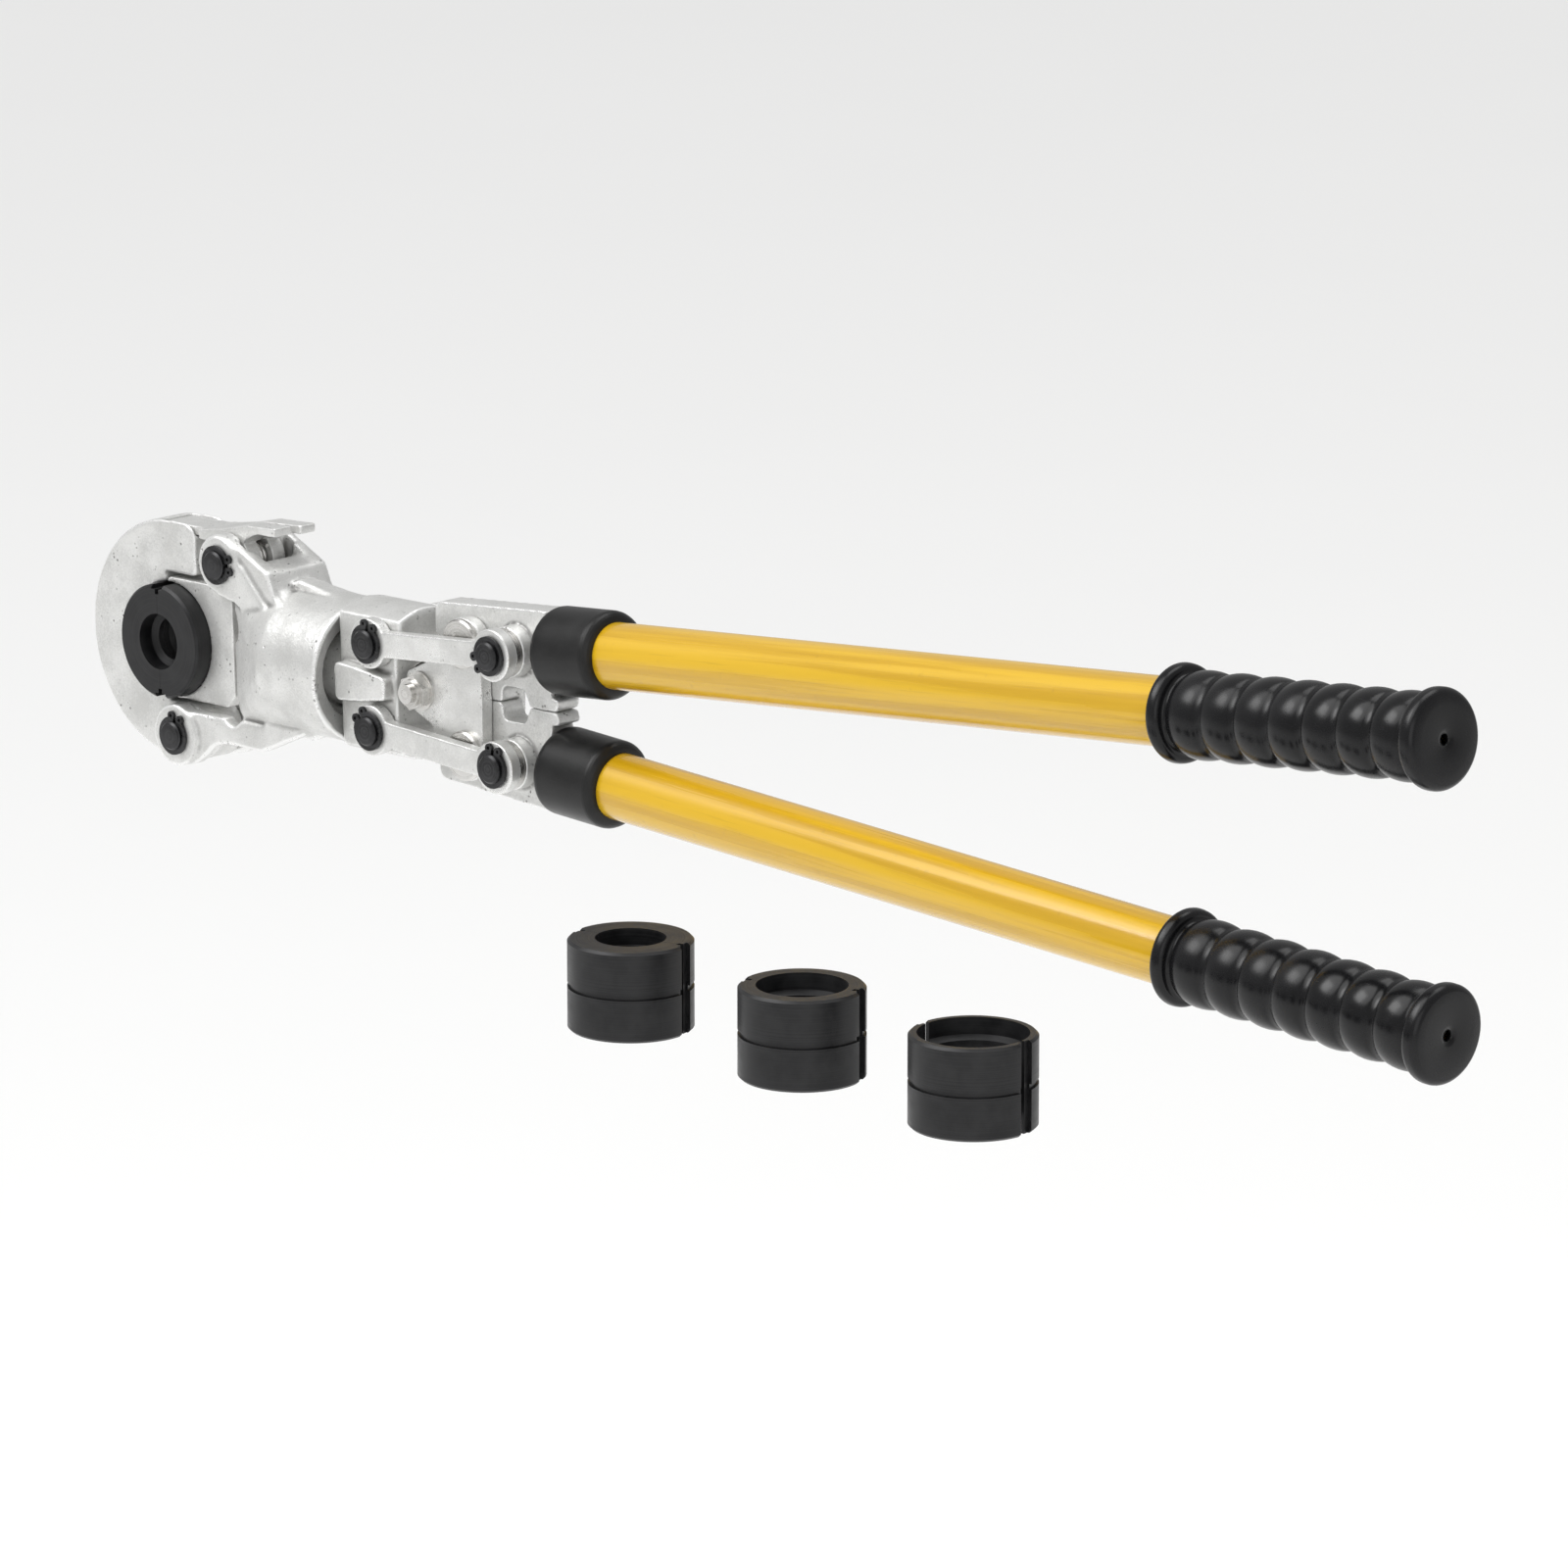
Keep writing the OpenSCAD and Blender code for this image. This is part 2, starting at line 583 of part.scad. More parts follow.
module yoke() {
    tongue = yoke_pin_at[0];
    horn_z = yoke_r - 12.5;
    color(silver) difference() {
        union() {
            intersection() {
                bar_x(yoke_r, yoke_x0, yoke_x1);
                union() {
                    slab(-yoke_flat, yoke_flat) polygon(rounded([[yoke_x0, -far, 0], [yoke_x1 + 4, -far, 0],
                        [yoke_x1 + 4, -horn_z, 0], [yoke_face_x, -horn_z, 4], [yoke_face_x, horn_z, 4],
                        [yoke_x1 + 4, horn_z, 0], [yoke_x1 + 4, far, 0], [yoke_x0, far, 0]]));
                    slab(-link_y1, link_y1) polygon(rounded([[yoke_x0 + 2.4, -8.2, 2.5],
                        [tongue - 4, -6.6, 14], [tongue + 9, -4.6, 2], [tongue + 9, 4.6, 2],
                        [tongue - 4, 6.6, 14], [yoke_x0 + 2.4, 8.2, 2.5]]));
                }
            }
            bar_x(stem_r, stem_x0 + 1, undercut_x0);
            bar_x(undercut_r, stem_x0 + 1, yoke_x0 + 1);
        }
        for (s = [-1, 1]) bar_y([yoke_pin_at[0], s * yoke_pin_at[1]], pin_r, -far / 2, far / 2);
        bar_x(rod_r + pin_run, stem_x0, yoke_x1 + 5);
        // Room for the levers' corners to swing
        for (s = [-1, 1]) bar_y([yoke_x1 + 16, s * (yoke_r + 8)], 19, -far / 2, far / 2);
        for (a = screw_turn) translate([screw_x, 0, 0]) rotate([a, 0, 0])
            translate([0, 0, stem_r - 2]) cylinder(r = 3, h = 10);
    }
}

module yoke_pin_upper() { color(black_oxide) grooved_pin(yoke_pin_at, pin_y, ring_y); }

module yoke_pin_lower() { lower() yoke_pin_upper(); }

module yoke_rings() {
    color(black_oxide) {
        ring_pair(yoke_pin_at, ring_y, 75);
        ring_pair([yoke_pin_at[0], -yoke_pin_at[1]], ring_y, 130);
    }
}

module push_rod() {
    rod_x1 = yoke_face_x + 1.5;
    color(steel) difference() {
        union() {
            bar_x(rod_r, jaw_back_x - 8, rod_x1);
            slab(-lever_t / 2, lever_t / 2) {
                translate([rod_x1 - 1, -tang_z]) square([bolt_x - rod_x1 + 1, 2 * tang_z]);
                translate([bolt_x, 0]) circle(tang_z);
            }
        }
        bar_y([bolt_x, 0], 4, -far / 2, far / 2);
    }
}

module centre_plate() {
    c = toggle_at;
    difference() {
        union() {
            polygon(rounded([[bolt_x - 8.5, -7, 3], [bolt_x + 5, -13, 3], [c[0] - 9.5, -c[1] - 4.7, 0],
                [c[0] + 9.6, -c[1] + 4, 0], [c[0] + 10.2, 0, 30], [c[0] + 9.6, c[1] - 4, 0],
                [c[0] - 9.5, c[1] + 4.7, 0], [bolt_x + 5, 13, 3], [bolt_x - 8.5, 7, 3]]));
            for (s = [-1, 1]) translate([c[0], s * c[1]]) circle(10.6);
        }
        for (s = [-1, 1]) translate([c[0], s * c[1]]) circle(pin_r);
        translate([bolt_x, 0]) circle(4);
    }
}

module front_centre_plate() { color(silver) slab(-plate_y1, -plate_y0) centre_plate(); }

module back_centre_plate() { color(silver) slab(plate_y0, plate_y1) centre_plate(); }

washer_t = 1.2;
nut_h = 6;

// M8 bolt, head at the back
module centre_bolt() {
    chamfer = 0.7;
    y = plate_y1 + washer_t;
    color(steel) {
        bar_y([bolt_x, 0], 4, -y - nut_h - 1.8, y + 1);
        translate([bolt_x, y, 0]) rotate([-90, 0, 0]) cylinder(r = 7.5, h = 5.3, $fn = 6);
    }
}

// Nut with a plain collar that holds its locking insert
module centre_nut() {
    y = plate_y1 + washer_t;
    color(steel) difference() {
        union() {
            translate([bolt_x, -y, 0]) rotate([90, -20, 0])
                cylinder(r = 7.5, h = nut_h - 1.6, $fn = 6);
            bar_y([bolt_x, 0], 5.6, -y - nut_h, -y - 1);
        }
        bar_y([bolt_x, 0], 4, -far / 2, far / 2);
    }
}

module centre_washers() {
    color(steel) both_sides(plate_y1, plate_y1 + washer_t) translate([bolt_x, 0]) difference() {
        circle(8);
        circle(4);
    }
}

// A headed pin through both centre plates and the lever between them
module toggle_pin_upper() {
    edge = 0.7;
    h = plate_y1 + rivet_head_t;
    color(steel) translate([toggle_at[0], 0, toggle_at[1]]) rotate([90, 0, 0]) rotate_extrude() polygon([
        [0, -h], [rivet_head_r - edge, -h], [rivet_head_r, -h + edge], [rivet_head_r, -plate_y1],
        [pin_r, -plate_y1], [pin_r, plate_y1], [rivet_head_r, plate_y1],
        [rivet_head_r, h - edge], [rivet_head_r - edge, h], [0, h]]);
}

module toggle_pin_lower() { lower() toggle_pin_upper(); }

// ---- links ----

module link_outline() {
    difference() {
        union() {
            translate(yoke_pin_at) circle(link_eye_r);
            translate(lever_pin_at) circle(link_eye_r + 0.3);
            strip(yoke_pin_at, lever_pin_at, link_w);
        }
        translate(yoke_pin_at) circle(pin_r + pin_run);
        translate(lever_pin_at) circle(pin_r + toggle_play);
    }
}

module upper_front_link() { color(silver) slab(-link_y1, -link_y0) link_outline(); }

module upper_back_link() { color(silver) slab(link_y0, link_y1) link_outline(); }

module lower_front_link() { lower() upper_front_link(); }

module lower_back_link() { lower() upper_back_link(); }

// ---- levers and handles ----

module upper_lever() {
    c = toggle_at;
    b = lever_pin_at;
    half = lever_t / 2;
    notch_x0 = b[0] - 10;
    notch_x1 = b[0] + 3;
    stop_x1 = b[0] + 22;
    top = axis_z0 + collar_x0 * sin(splay) + collar_r - 1.2;
    color(silver) difference() {
        union() {
            difference() {
                slab(-half, half) polygon(rounded([[c[0] - 23, c[1] + 13.5, 4], [c[0] - 23, c[1] + 1, 2],
                    [c[0] - 17, c[1] - 8, 3], [c[0] - 4, c[1] - 11, 5], [c[0] + 4, stop_z, 2],
                    [notch_x0, stop_z, 2], [notch_x0, 7, 3], [notch_x1, 7, 3], [notch_x1 + 3, stop_z, 2],
                    [stop_x1, stop_z, 2.5], [stop_x1 + 1.5, 9, 2], [collar_x0 + 2, 12, 0],
                    [collar_x0, top, 4]]));
                // Square shoulder against the collar's end
                on_handle() translate([collar_x0, -far / 2, -far]) cube([far, far, 2 * far]);
            }
            on_handle() translate([collar_x0 - 8, -half, -tenon_z])
                cube([tenon_x1 - collar_x0 + 8, lever_t, 2 * tenon_z]);
            // The stop lug runs on below the collar
            slab(-half, half) polygon(rounded([[collar_x0 - 12, stop_z, 0], [stop_x1, stop_z, 2.5],
                [stop_x1 + 1.2, 5.4, 1.5], [collar_x0 - 12, 5.4, 0]]));
            both_sides(half - 1, boss_y) translate(b) circle(link_eye_r);
        }
        bar_y(c, pin_r + pin_run, -far / 2, far / 2);
        bar_y(b, pin_r, -far / 2, far / 2);
    }
}

module upper_spacers() {
    color(steel) both_sides(boss_y + 0.1, link_y0 - 0.4) translate(lever_pin_at) difference() {
        circle(link_eye_r - 0.4);
        circle(pin_r);
    }
}

module upper_lever_pin() { color(black_oxide) grooved_pin(lever_pin_at, pin_y, ring_y); }

module upper_lever_rings() { color(black_oxide) ring_pair(lever_pin_at, ring_y, 205); }

module lower_lever_rings() {
    color(black_oxide) ring_pair([lever_pin_at[0], -lever_pin_at[1]], ring_y, 80);
}

module upper_collar() {
    edge = 4;
    color(vinyl) on_handle() difference() {
        rotate([0, 90, 0]) rotate_extrude() polygon(rounded([
            [0, collar_x0 + 0.05, 0], [collar_r, collar_x0 + 0.05, edge], [collar_r, collar_x1, edge],
            [tube_r, collar_x1, 0], [tube_r, tube_x0, 0], [0, tube_x0, 0]]));
        translate([collar_x0 - 1, -lever_t / 2, -tenon_z]) cube([collar_len, lever_t, 2 * tenon_z]);
    }
}

module upper_tube() {
    color(amber) on_handle() difference() {
        bar_x(tube_r, tube_x0, grip_x1 - cap_t);
        bar_x(tube_in, tube_x0 - cut, grip_x1);
    }
}

// Outline of the grip: a front flange, rounded rings and an end flange
ring_x0 = grip_x0 + front_flange_t + 1;
ring_x1 = grip_x1 - end_flange_t - 1;
ring_pitch = (ring_x1 - ring_x0) / grip_rings;
grip_ring_steps = 8;

module upper_grip() {
    hole_r = 2.2;
    rings = [for (i = [0 : grip_rings - 1], j = [0 : grip_ring_steps - 1])
        [grip_root_r + (grip_r - grip_root_r) * pow(sin(180 * j / grip_ring_steps), 0.7),
         ring_x0 + (i + j / grip_ring_steps) * ring_pitch]];
    front = rounded([[tube_r, grip_x0, 0], [flange_r - 0.3, grip_x0, 2.6],
        [flange_r - 0.3, grip_x0 + front_flange_t, 2.6], [grip_root_r, grip_x0 + front_flange_t, 0]]);
    end = rounded([[grip_root_r, ring_x1, 0], [grip_root_r, grip_x1 - end_flange_t, 0],
        [flange_r, grip_x1 - end_flange_t, flange_edge_r], [flange_r, grip_x1, flange_edge_r],
        [hole_r, grip_x1, 0], [hole_r, grip_x1 - cap_t, 0], [tube_r, grip_x1 - cap_t, 0]]);
    color(vinyl) on_handle() rotate([0, 90, 0]) rotate_extrude() polygon(concat(front, rings, end));
}

module lower_lever() { lower() upper_lever(); }

module lower_spacers() { lower() upper_spacers(); }

module lower_lever_pin() { lower() upper_lever_pin(); }

module lower_collar() { lower() upper_collar(); }

module lower_tube() { lower() upper_tube(); }

module lower_grip() { lower() upper_grip(); }

stand() head_body();
stand() yoke();
stand() neck_set_screws();
stand() latch_pin();
stand() jaw_pin();
stand() head_rings();
stand() yoke_pin_upper();
stand() yoke_pin_lower();
stand() yoke_rings();
stand() latch_spring();
stand() latch_lever();
stand() c_jaw();
stand() c_jaw_die();
stand() c_jaw_detent();
stand() sliding_jaw();
stand() sliding_jaw_die();
stand() sliding_jaw_detent();
stand() push_rod();
stand() front_centre_plate();
stand() back_centre_plate();
stand() centre_bolt();
stand() centre_nut();
stand() centre_washers();
stand() toggle_pin_upper();
stand() toggle_pin_lower();
stand() upper_front_link();
stand() upper_back_link();
stand() lower_front_link();
stand() lower_back_link();
stand() upper_lever();
stand() upper_lever_pin();
stand() upper_lever_rings();
stand() upper_spacers();
stand() upper_collar();
stand() upper_tube();
stand() upper_grip();
stand() lower_lever();
stand() lower_lever_pin();
stand() lower_lever_rings();
stand() lower_spacers();
stand() lower_collar();
stand() lower_tube();
stand() lower_grip();
spare_half(0, 0);  // die_20_half_a
spare_half(0, 1);  // die_20_half_b
spare_half(1, 0);  // die_26_half_a
spare_half(1, 1);  // die_26_half_b
spare_half(2, 0);  // die_32_half_a
spare_half(2, 1);  // die_32_half_b
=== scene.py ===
"""Looks of a hand-operated pipe press and its three spare die sets.

The forged and pressed pieces are rebuilt from the frame's own solids with
rounded edges and an edge mask that gives worn paint and a painted highlight
on edges and painted shade in hollows, the grips are lathed anew, and every
other solid keeps its shape and gets a finish that follows its own axis.
Lengths are in metres.
"""

import logging
import math
from dataclasses import dataclass, field
from enum import Enum

import bmesh
import bpy
import numpy as np
from mathutils import Matrix, Vector


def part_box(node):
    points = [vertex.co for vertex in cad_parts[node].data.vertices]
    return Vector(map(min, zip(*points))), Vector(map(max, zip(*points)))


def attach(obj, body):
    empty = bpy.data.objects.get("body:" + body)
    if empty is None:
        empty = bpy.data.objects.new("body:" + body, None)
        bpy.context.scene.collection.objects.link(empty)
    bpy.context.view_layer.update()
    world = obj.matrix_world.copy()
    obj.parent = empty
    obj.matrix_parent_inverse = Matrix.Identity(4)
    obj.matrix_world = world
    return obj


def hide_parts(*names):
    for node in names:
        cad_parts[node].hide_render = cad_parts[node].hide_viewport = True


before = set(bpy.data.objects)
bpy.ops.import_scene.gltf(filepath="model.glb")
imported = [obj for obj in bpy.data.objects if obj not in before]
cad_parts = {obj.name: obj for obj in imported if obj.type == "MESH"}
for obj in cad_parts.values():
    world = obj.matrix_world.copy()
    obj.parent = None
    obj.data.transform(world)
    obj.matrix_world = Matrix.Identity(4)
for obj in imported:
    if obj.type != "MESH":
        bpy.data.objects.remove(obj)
log = logging.getLogger("pipe_press")

MM = 0.001
EDGE_ATTRIBUTE = "edge"
EDGE_OFFSET = 0.28 * MM
EDGE_PASSES = 14
MERGE_DISTANCE = 0.002 * MM
SEAM_DISTANCE = 0.001 * MM
Colour = tuple[float, float, float, float]


class Direction(Enum):
    """A main axis that a turned piece was cut round."""

    ALONG_Y = (math.pi / 2, 0.0, 0.0)
    ALONG_Z = (0.0, 0.0, 0.0)
    ALONG_X = (0.0, math.pi / 2, 0.0)


class Side(Enum):
    """The two handles, named as the frame's nodes are."""

    UPPER = "upper"
    LOWER = "lower"


# ---------------------------------------------------------------- node graphs


class Graph:
    """Adds shader nodes to one tree and joins them."""

    def __init__(self, tree: bpy.types.NodeTree) -> None:
        """Keeps the tree that nodes are added to."""
        self.tree = tree

    def add(self, kind: str, **settings: object) -> bpy.types.Node:
        """Adds a node.

        Args:
            kind: the node's type name.
            settings: attributes to set on it.

        Returns:
            The new node.
        """
        node = self.tree.nodes.new(kind)
        for key, value in settings.items():
            setattr(node, key, value)
        return node

    def feed(self, socket: bpy.types.NodeSocket, value: object) -> None:
        """Links a socket to another socket, or sets its value."""
        if isinstance(value, bpy.types.NodeSocket):
            self.tree.links.new(value, socket)
        else:
            socket.default_value = value

    def math(self, operation: str, a: object, b: object = 0.0, c: object = 0.0) -> bpy.types.NodeSocket:
        """Returns the result of a Math node on two or three values."""
        node = self.add("ShaderNodeMath", operation=operation)
        for socket, value in zip(node.inputs, (a, b, c)):
            self.feed(socket, value)
        return node.outputs[0]

    def noise(self, vector: object, scale: object, detail: float = 3.0,
              rough: float = 0.55) -> bpy.types.NodeSocket:
        """Returns a noise value from 0 to 1 at the given scale per metre."""
        node = self.add("ShaderNodeTexNoise")
        self.feed(node.inputs["Vector"], vector)
        self.feed(node.inputs["Scale"], scale)
        node.inputs["Detail"].default_value = detail
        node.inputs["Roughness"].default_value = rough
        return node.outputs["Fac"]

    def remap(self, value: object, low: float, high: float, to_low: float = 0.0,
              to_high: float = 1.0) -> bpy.types.NodeSocket:
        """Returns value carried smoothly from low..high to to_low..to_high."""
        node = self.add("ShaderNodeMapRange", interpolation_type="SMOOTHSTEP")
        for name, number in (("Value", value), ("From Min", low), ("From Max", high),
                             ("To Min", to_low), ("To Max", to_high)):
            self.feed(node.inputs[name], number)
        return node.outputs["Result"]

    def mix(self, factor: object, a: object, b: object, blend: str = "MIX") -> bpy.types.NodeSocket:
        """Returns two colours mixed by a factor."""
        node = self.add("ShaderNodeMix", data_type="RGBA", blend_type=blend)
        self.feed(node.inputs["Factor"], factor)
        self.feed(node.inputs[6], a)
        self.feed(node.inputs[7], b)
        return node.outputs[2]

    def group(self, tree: bpy.types.NodeTree, **values: object) -> bpy.types.Node:
        """Places a node group and feeds its inputs by name, with _ for a space."""
        node = self.add("ShaderNodeGroup", node_tree=tree)
        for name, value in values.items():
            self.feed(node.inputs[name.replace("_", " ")], value)
        return node

    def place(self, location: Vector, rotation: tuple[float, float, float]) -> bpy.types.NodeSocket:
        """Returns Object coordinates moved to a centre and turned to an axis."""
        coords = self.add("ShaderNodeTexCoord")
        shift = self.add("ShaderNodeMapping", vector_type="POINT")
        shift.inputs["Location"].default_value = -location
        turn = self.add("ShaderNodeMapping", vector_type="POINT")
        turn.inputs["Rotation"].default_value = rotation
        self.feed(shift.inputs["Vector"], coords.outputs["Object"])
        self.feed(turn.inputs["Vector"], shift.outputs["Vector"])
        return turn.outputs["Vector"]


def new_group(name: str, inputs: dict[str, tuple[str, object]], outputs: dict[str, str]) -> tuple[
        Graph, dict[str, bpy.types.NodeSocket], bpy.types.Node]:
    """Starts a shader node group with named sockets.

    Args:
        name: the group's name.
        inputs: socket name to (type, default or None).
        outputs: socket name to type.

    Returns:
        The group's graph, its input sockets by name, and its output node.
    """
    tree = bpy.data.node_groups.new(name, "ShaderNodeTree")
    for label, (kind, default) in inputs.items():
        socket = tree.interface.new_socket(label, in_out="INPUT", socket_type="NodeSocket" + kind)
        if default is not None:
            socket.default_value = default
    for label, kind in outputs.items():
        tree.interface.new_socket(label, in_out="OUTPUT", socket_type="NodeSocket" + kind)
    graph = Graph(tree)
    source = graph.add("NodeGroupInput")
    taken = {socket.name: socket for socket in source.outputs if socket.name}
    return graph, taken, graph.add("NodeGroupOutput")


def relief_group() -> bpy.types.NodeTree:
    """Builds the uneven skin of a forging or a moulding: grain, waves and pits."""
    graph, take, give = new_group(
        "surface relief",
        {"Vector": ("Vector", None), "Grain per m": ("Float", 1400.0), "Wave per m": ("Float", 160.0),
         "Pit per m": ("Float", 420.0), "Grain": ("Float", 0.4), "Wave": ("Float", 1.0),
         "Pits": ("Float", 0.5)},
        {"Height": "Float", "Pit Mask": "Float", "Mottle": "Float"})
    vector = take["Vector"]
    grain = graph.noise(vector, take["Grain per m"], 4.0, 0.65)
    wave = graph.noise(vector, take["Wave per m"], 2.0, 0.45)
    cells = graph.add("ShaderNodeTexVoronoi", feature="F1")
    warp = graph.add("ShaderNodeVectorMath", operation="MULTIPLY_ADD")
    shake = graph.add("ShaderNodeTexNoise")
    graph.feed(shake.inputs["Vector"], vector)
    graph.feed(shake.inputs["Scale"], take["Pit per m"])
    graph.feed(warp.inputs[0], shake.outputs["Color"])
    warp.inputs[1].default_value = (0.0012, 0.0012, 0.0012)
    graph.feed(warp.inputs[2], vector)
    graph.feed(cells.inputs["Vector"], warp.outputs[0])
    graph.feed(cells.inputs["Scale"], take["Pit per m"])
    patches = graph.noise(vector, graph.math("MULTIPLY", take["Pit per m"], 0.31), 1.0)
    thin_out = graph.remap(patches, 0.52, 0.72)
    pit = graph.math("MULTIPLY", graph.remap(cells.outputs["Distance"], 0.10, 0.30, 1.0, 0.0), thin_out)
    pit = graph.math("MULTIPLY", pit, take["Pits"])
    height = graph.math("MULTIPLY_ADD", grain, take["Grain"], graph.math("MULTIPLY", wave, take["Wave"]))
    graph.feed(give.inputs["Height"], graph.math("SUBTRACT", height, graph.math("MULTIPLY", pit, 0.8)))
    graph.feed(give.inputs["Pit Mask"], pit)
    clouds = graph.noise(vector, graph.math("MULTIPLY", take["Wave per m"], 0.4), 4.0)
    mottle = graph.math("MULTIPLY_ADD", clouds, 0.6, graph.math("MULTIPLY", grain, 0.4))
    graph.feed(give.inputs["Mottle"], mottle)
    return graph.tree


def tone_group() -> bpy.types.NodeTree:
    """Builds colour variation: mottling, lighter edges (worn paint and a painted highlight), painted shade in
    hollows, dark pits.
    """
    graph, take, give = new_group(
        "wear, highlight and shade tone",
        {"Light": ("Color", (1, 1, 1, 1)), "Dark": ("Color", (0, 0, 0, 1)),
         "Edge Colour": ("Color", (1, 1, 1, 1)), "Grime": ("Color", (0, 0, 0, 1)),
         "Mottle": ("Float", 0.5), "Edge": ("Float", 0.0), "Pit Mask": ("Float", 0.0)},
        {"Colour": "Color", "Edge Wear And Highlight": "Float"})
    body = graph.mix(graph.remap(take["Mottle"], 0.36, 0.64), take["Dark"], take["Light"])
    ragged = graph.math("ADD", take["Edge"], graph.math("MULTIPLY_ADD", take["Mottle"], 0.5, -0.25))
    # lighter on outer edges: partly paint worn thin, partly a painted highlight
    edge_wear_and_highlight = graph.remap(ragged, 0.30, 0.75)
    # painted shade: hollows are darkened towards the dark colour, where shade falls
    hollow = graph.remap(graph.math("MULTIPLY", take["Edge"], -1.0), 0.10, 0.75)
    colour = graph.mix(edge_wear_and_highlight, body, take["Edge Colour"])
    colour = graph.mix(graph.math("MULTIPLY", hollow, 0.75), colour, take["Grime"])
    colour = graph.mix(graph.math("MULTIPLY", take["Pit Mask"], 0.85), colour, take["Grime"])
    graph.feed(give.inputs["Colour"], colour)
    graph.feed(give.inputs["Edge Wear And Highlight"], edge_wear_and_highlight)
    return graph.tree


def turning_group() -> bpy.types.NodeTree:
    """Builds fine rings round the Z axis of its vector, as a lathe tool leaves them."""
    graph, take, give = new_group(
        "turning marks",
        {"Vector": ("Vector", None), "Rings per m": ("Float", 900.0)},
        {"Height": "Float", "Tone": "Float"})
    parts = graph.add("ShaderNodeSeparateXYZ")
    graph.feed(parts.inputs[0], take["Vector"])
    x, y, z = parts.outputs
    radius = graph.math("SQRT", graph.math("MULTIPLY_ADD", x, x, graph.math("MULTIPLY", y, y)))
    along = graph.add("ShaderNodeCombineXYZ")
    graph.feed(along.inputs[0], graph.math("MULTIPLY", radius, take["Rings per m"]))
    graph.feed(along.inputs[1], graph.math("MULTIPLY", z, take["Rings per m"]))
    rings = graph.noise(along.outputs[0], 1.0, 2.0, 0.7)
    graph.feed(give.inputs["Height"], rings)
    broad = graph.noise(take["Vector"], 90.0, 3.0)
    tone = graph.math("MULTIPLY_ADD", rings, 0.45, graph.math("MULTIPLY", broad, 0.55))
    graph.feed(give.inputs["Tone"], tone)
    return graph.tree


def streak_group() -> bpy.types.NodeTree:
    """Builds runs and scratches that follow the X axis of its vector."""
    graph, take, give = new_group(
        "lengthwise streaks",
        {"Vector": ("Vector", None), "Across per m": ("Float", 420.0), "Along per m": ("Float", 9.0)},
        {"Streak": "Float", "Scratch": "Float"})
    parts = graph.add("ShaderNodeSeparateXYZ")
    graph.feed(parts.inputs[0], take["Vector"])

    def drawn_out(across: float, along: float) -> bpy.types.NodeSocket:
        """Returns the vector stretched along X."""
        node = graph.add("ShaderNodeCombineXYZ")
        graph.feed(node.inputs[0], graph.math("MULTIPLY", parts.outputs[0],
                                              graph.math("MULTIPLY", take["Along per m"], along)))
        for i in (1, 2):
            graph.feed(node.inputs[i], graph.math("MULTIPLY", parts.outputs[i],
                                                  graph.math("MULTIPLY", take["Across per m"], across)))
        return node.outputs[0]

    graph.feed(give.inputs["Streak"], graph.noise(drawn_out(0.5, 0.6), 1.0, 3.0, 0.5))
    graph.feed(give.inputs["Scratch"], graph.remap(graph.noise(drawn_out(4.0, 3.0), 1.0, 1.0), 0.66, 0.74))
    return graph.tree


@dataclass
class Effects:
    """The node groups that the finishes share, each built once."""

    relief: bpy.types.NodeTree = field(default_factory=relief_group)
    tone: bpy.types.NodeTree = field(default_factory=tone_group)
    turning: bpy.types.NodeTree = field(default_factory=turning_group)
    streaks: bpy.types.NodeTree = field(default_factory=streak_group)


# ------------------------------------------------------------------- finishes


def new_material(name: str) -> tuple[bpy.types.Material, Graph, bpy.types.Node]:
    """Starts a node material.

    Args:
        name: the material's name.

    Returns:
        The material, its graph and its Principled BSDF.
    """
    material = bpy.data.materials.new(name)
    material.use_nodes = True
    return material, Graph(material.node_tree), material.node_tree.nodes["Principled BSDF"]


def add_bump(graph: Graph, shader: bpy.types.Node, height: bpy.types.NodeSocket, distance: float) -> None:
    """Feeds a height through a Bump node into a shader's Normal."""
    bump = graph.add("ShaderNodeBump")
    bump.inputs["Strength"].default_value = 1.0
    bump.inputs["Distance"].default_value = distance
    graph.feed(bump.inputs["Height"], height)
    graph.feed(shader.inputs["Normal"], bump.outputs["Normal"])


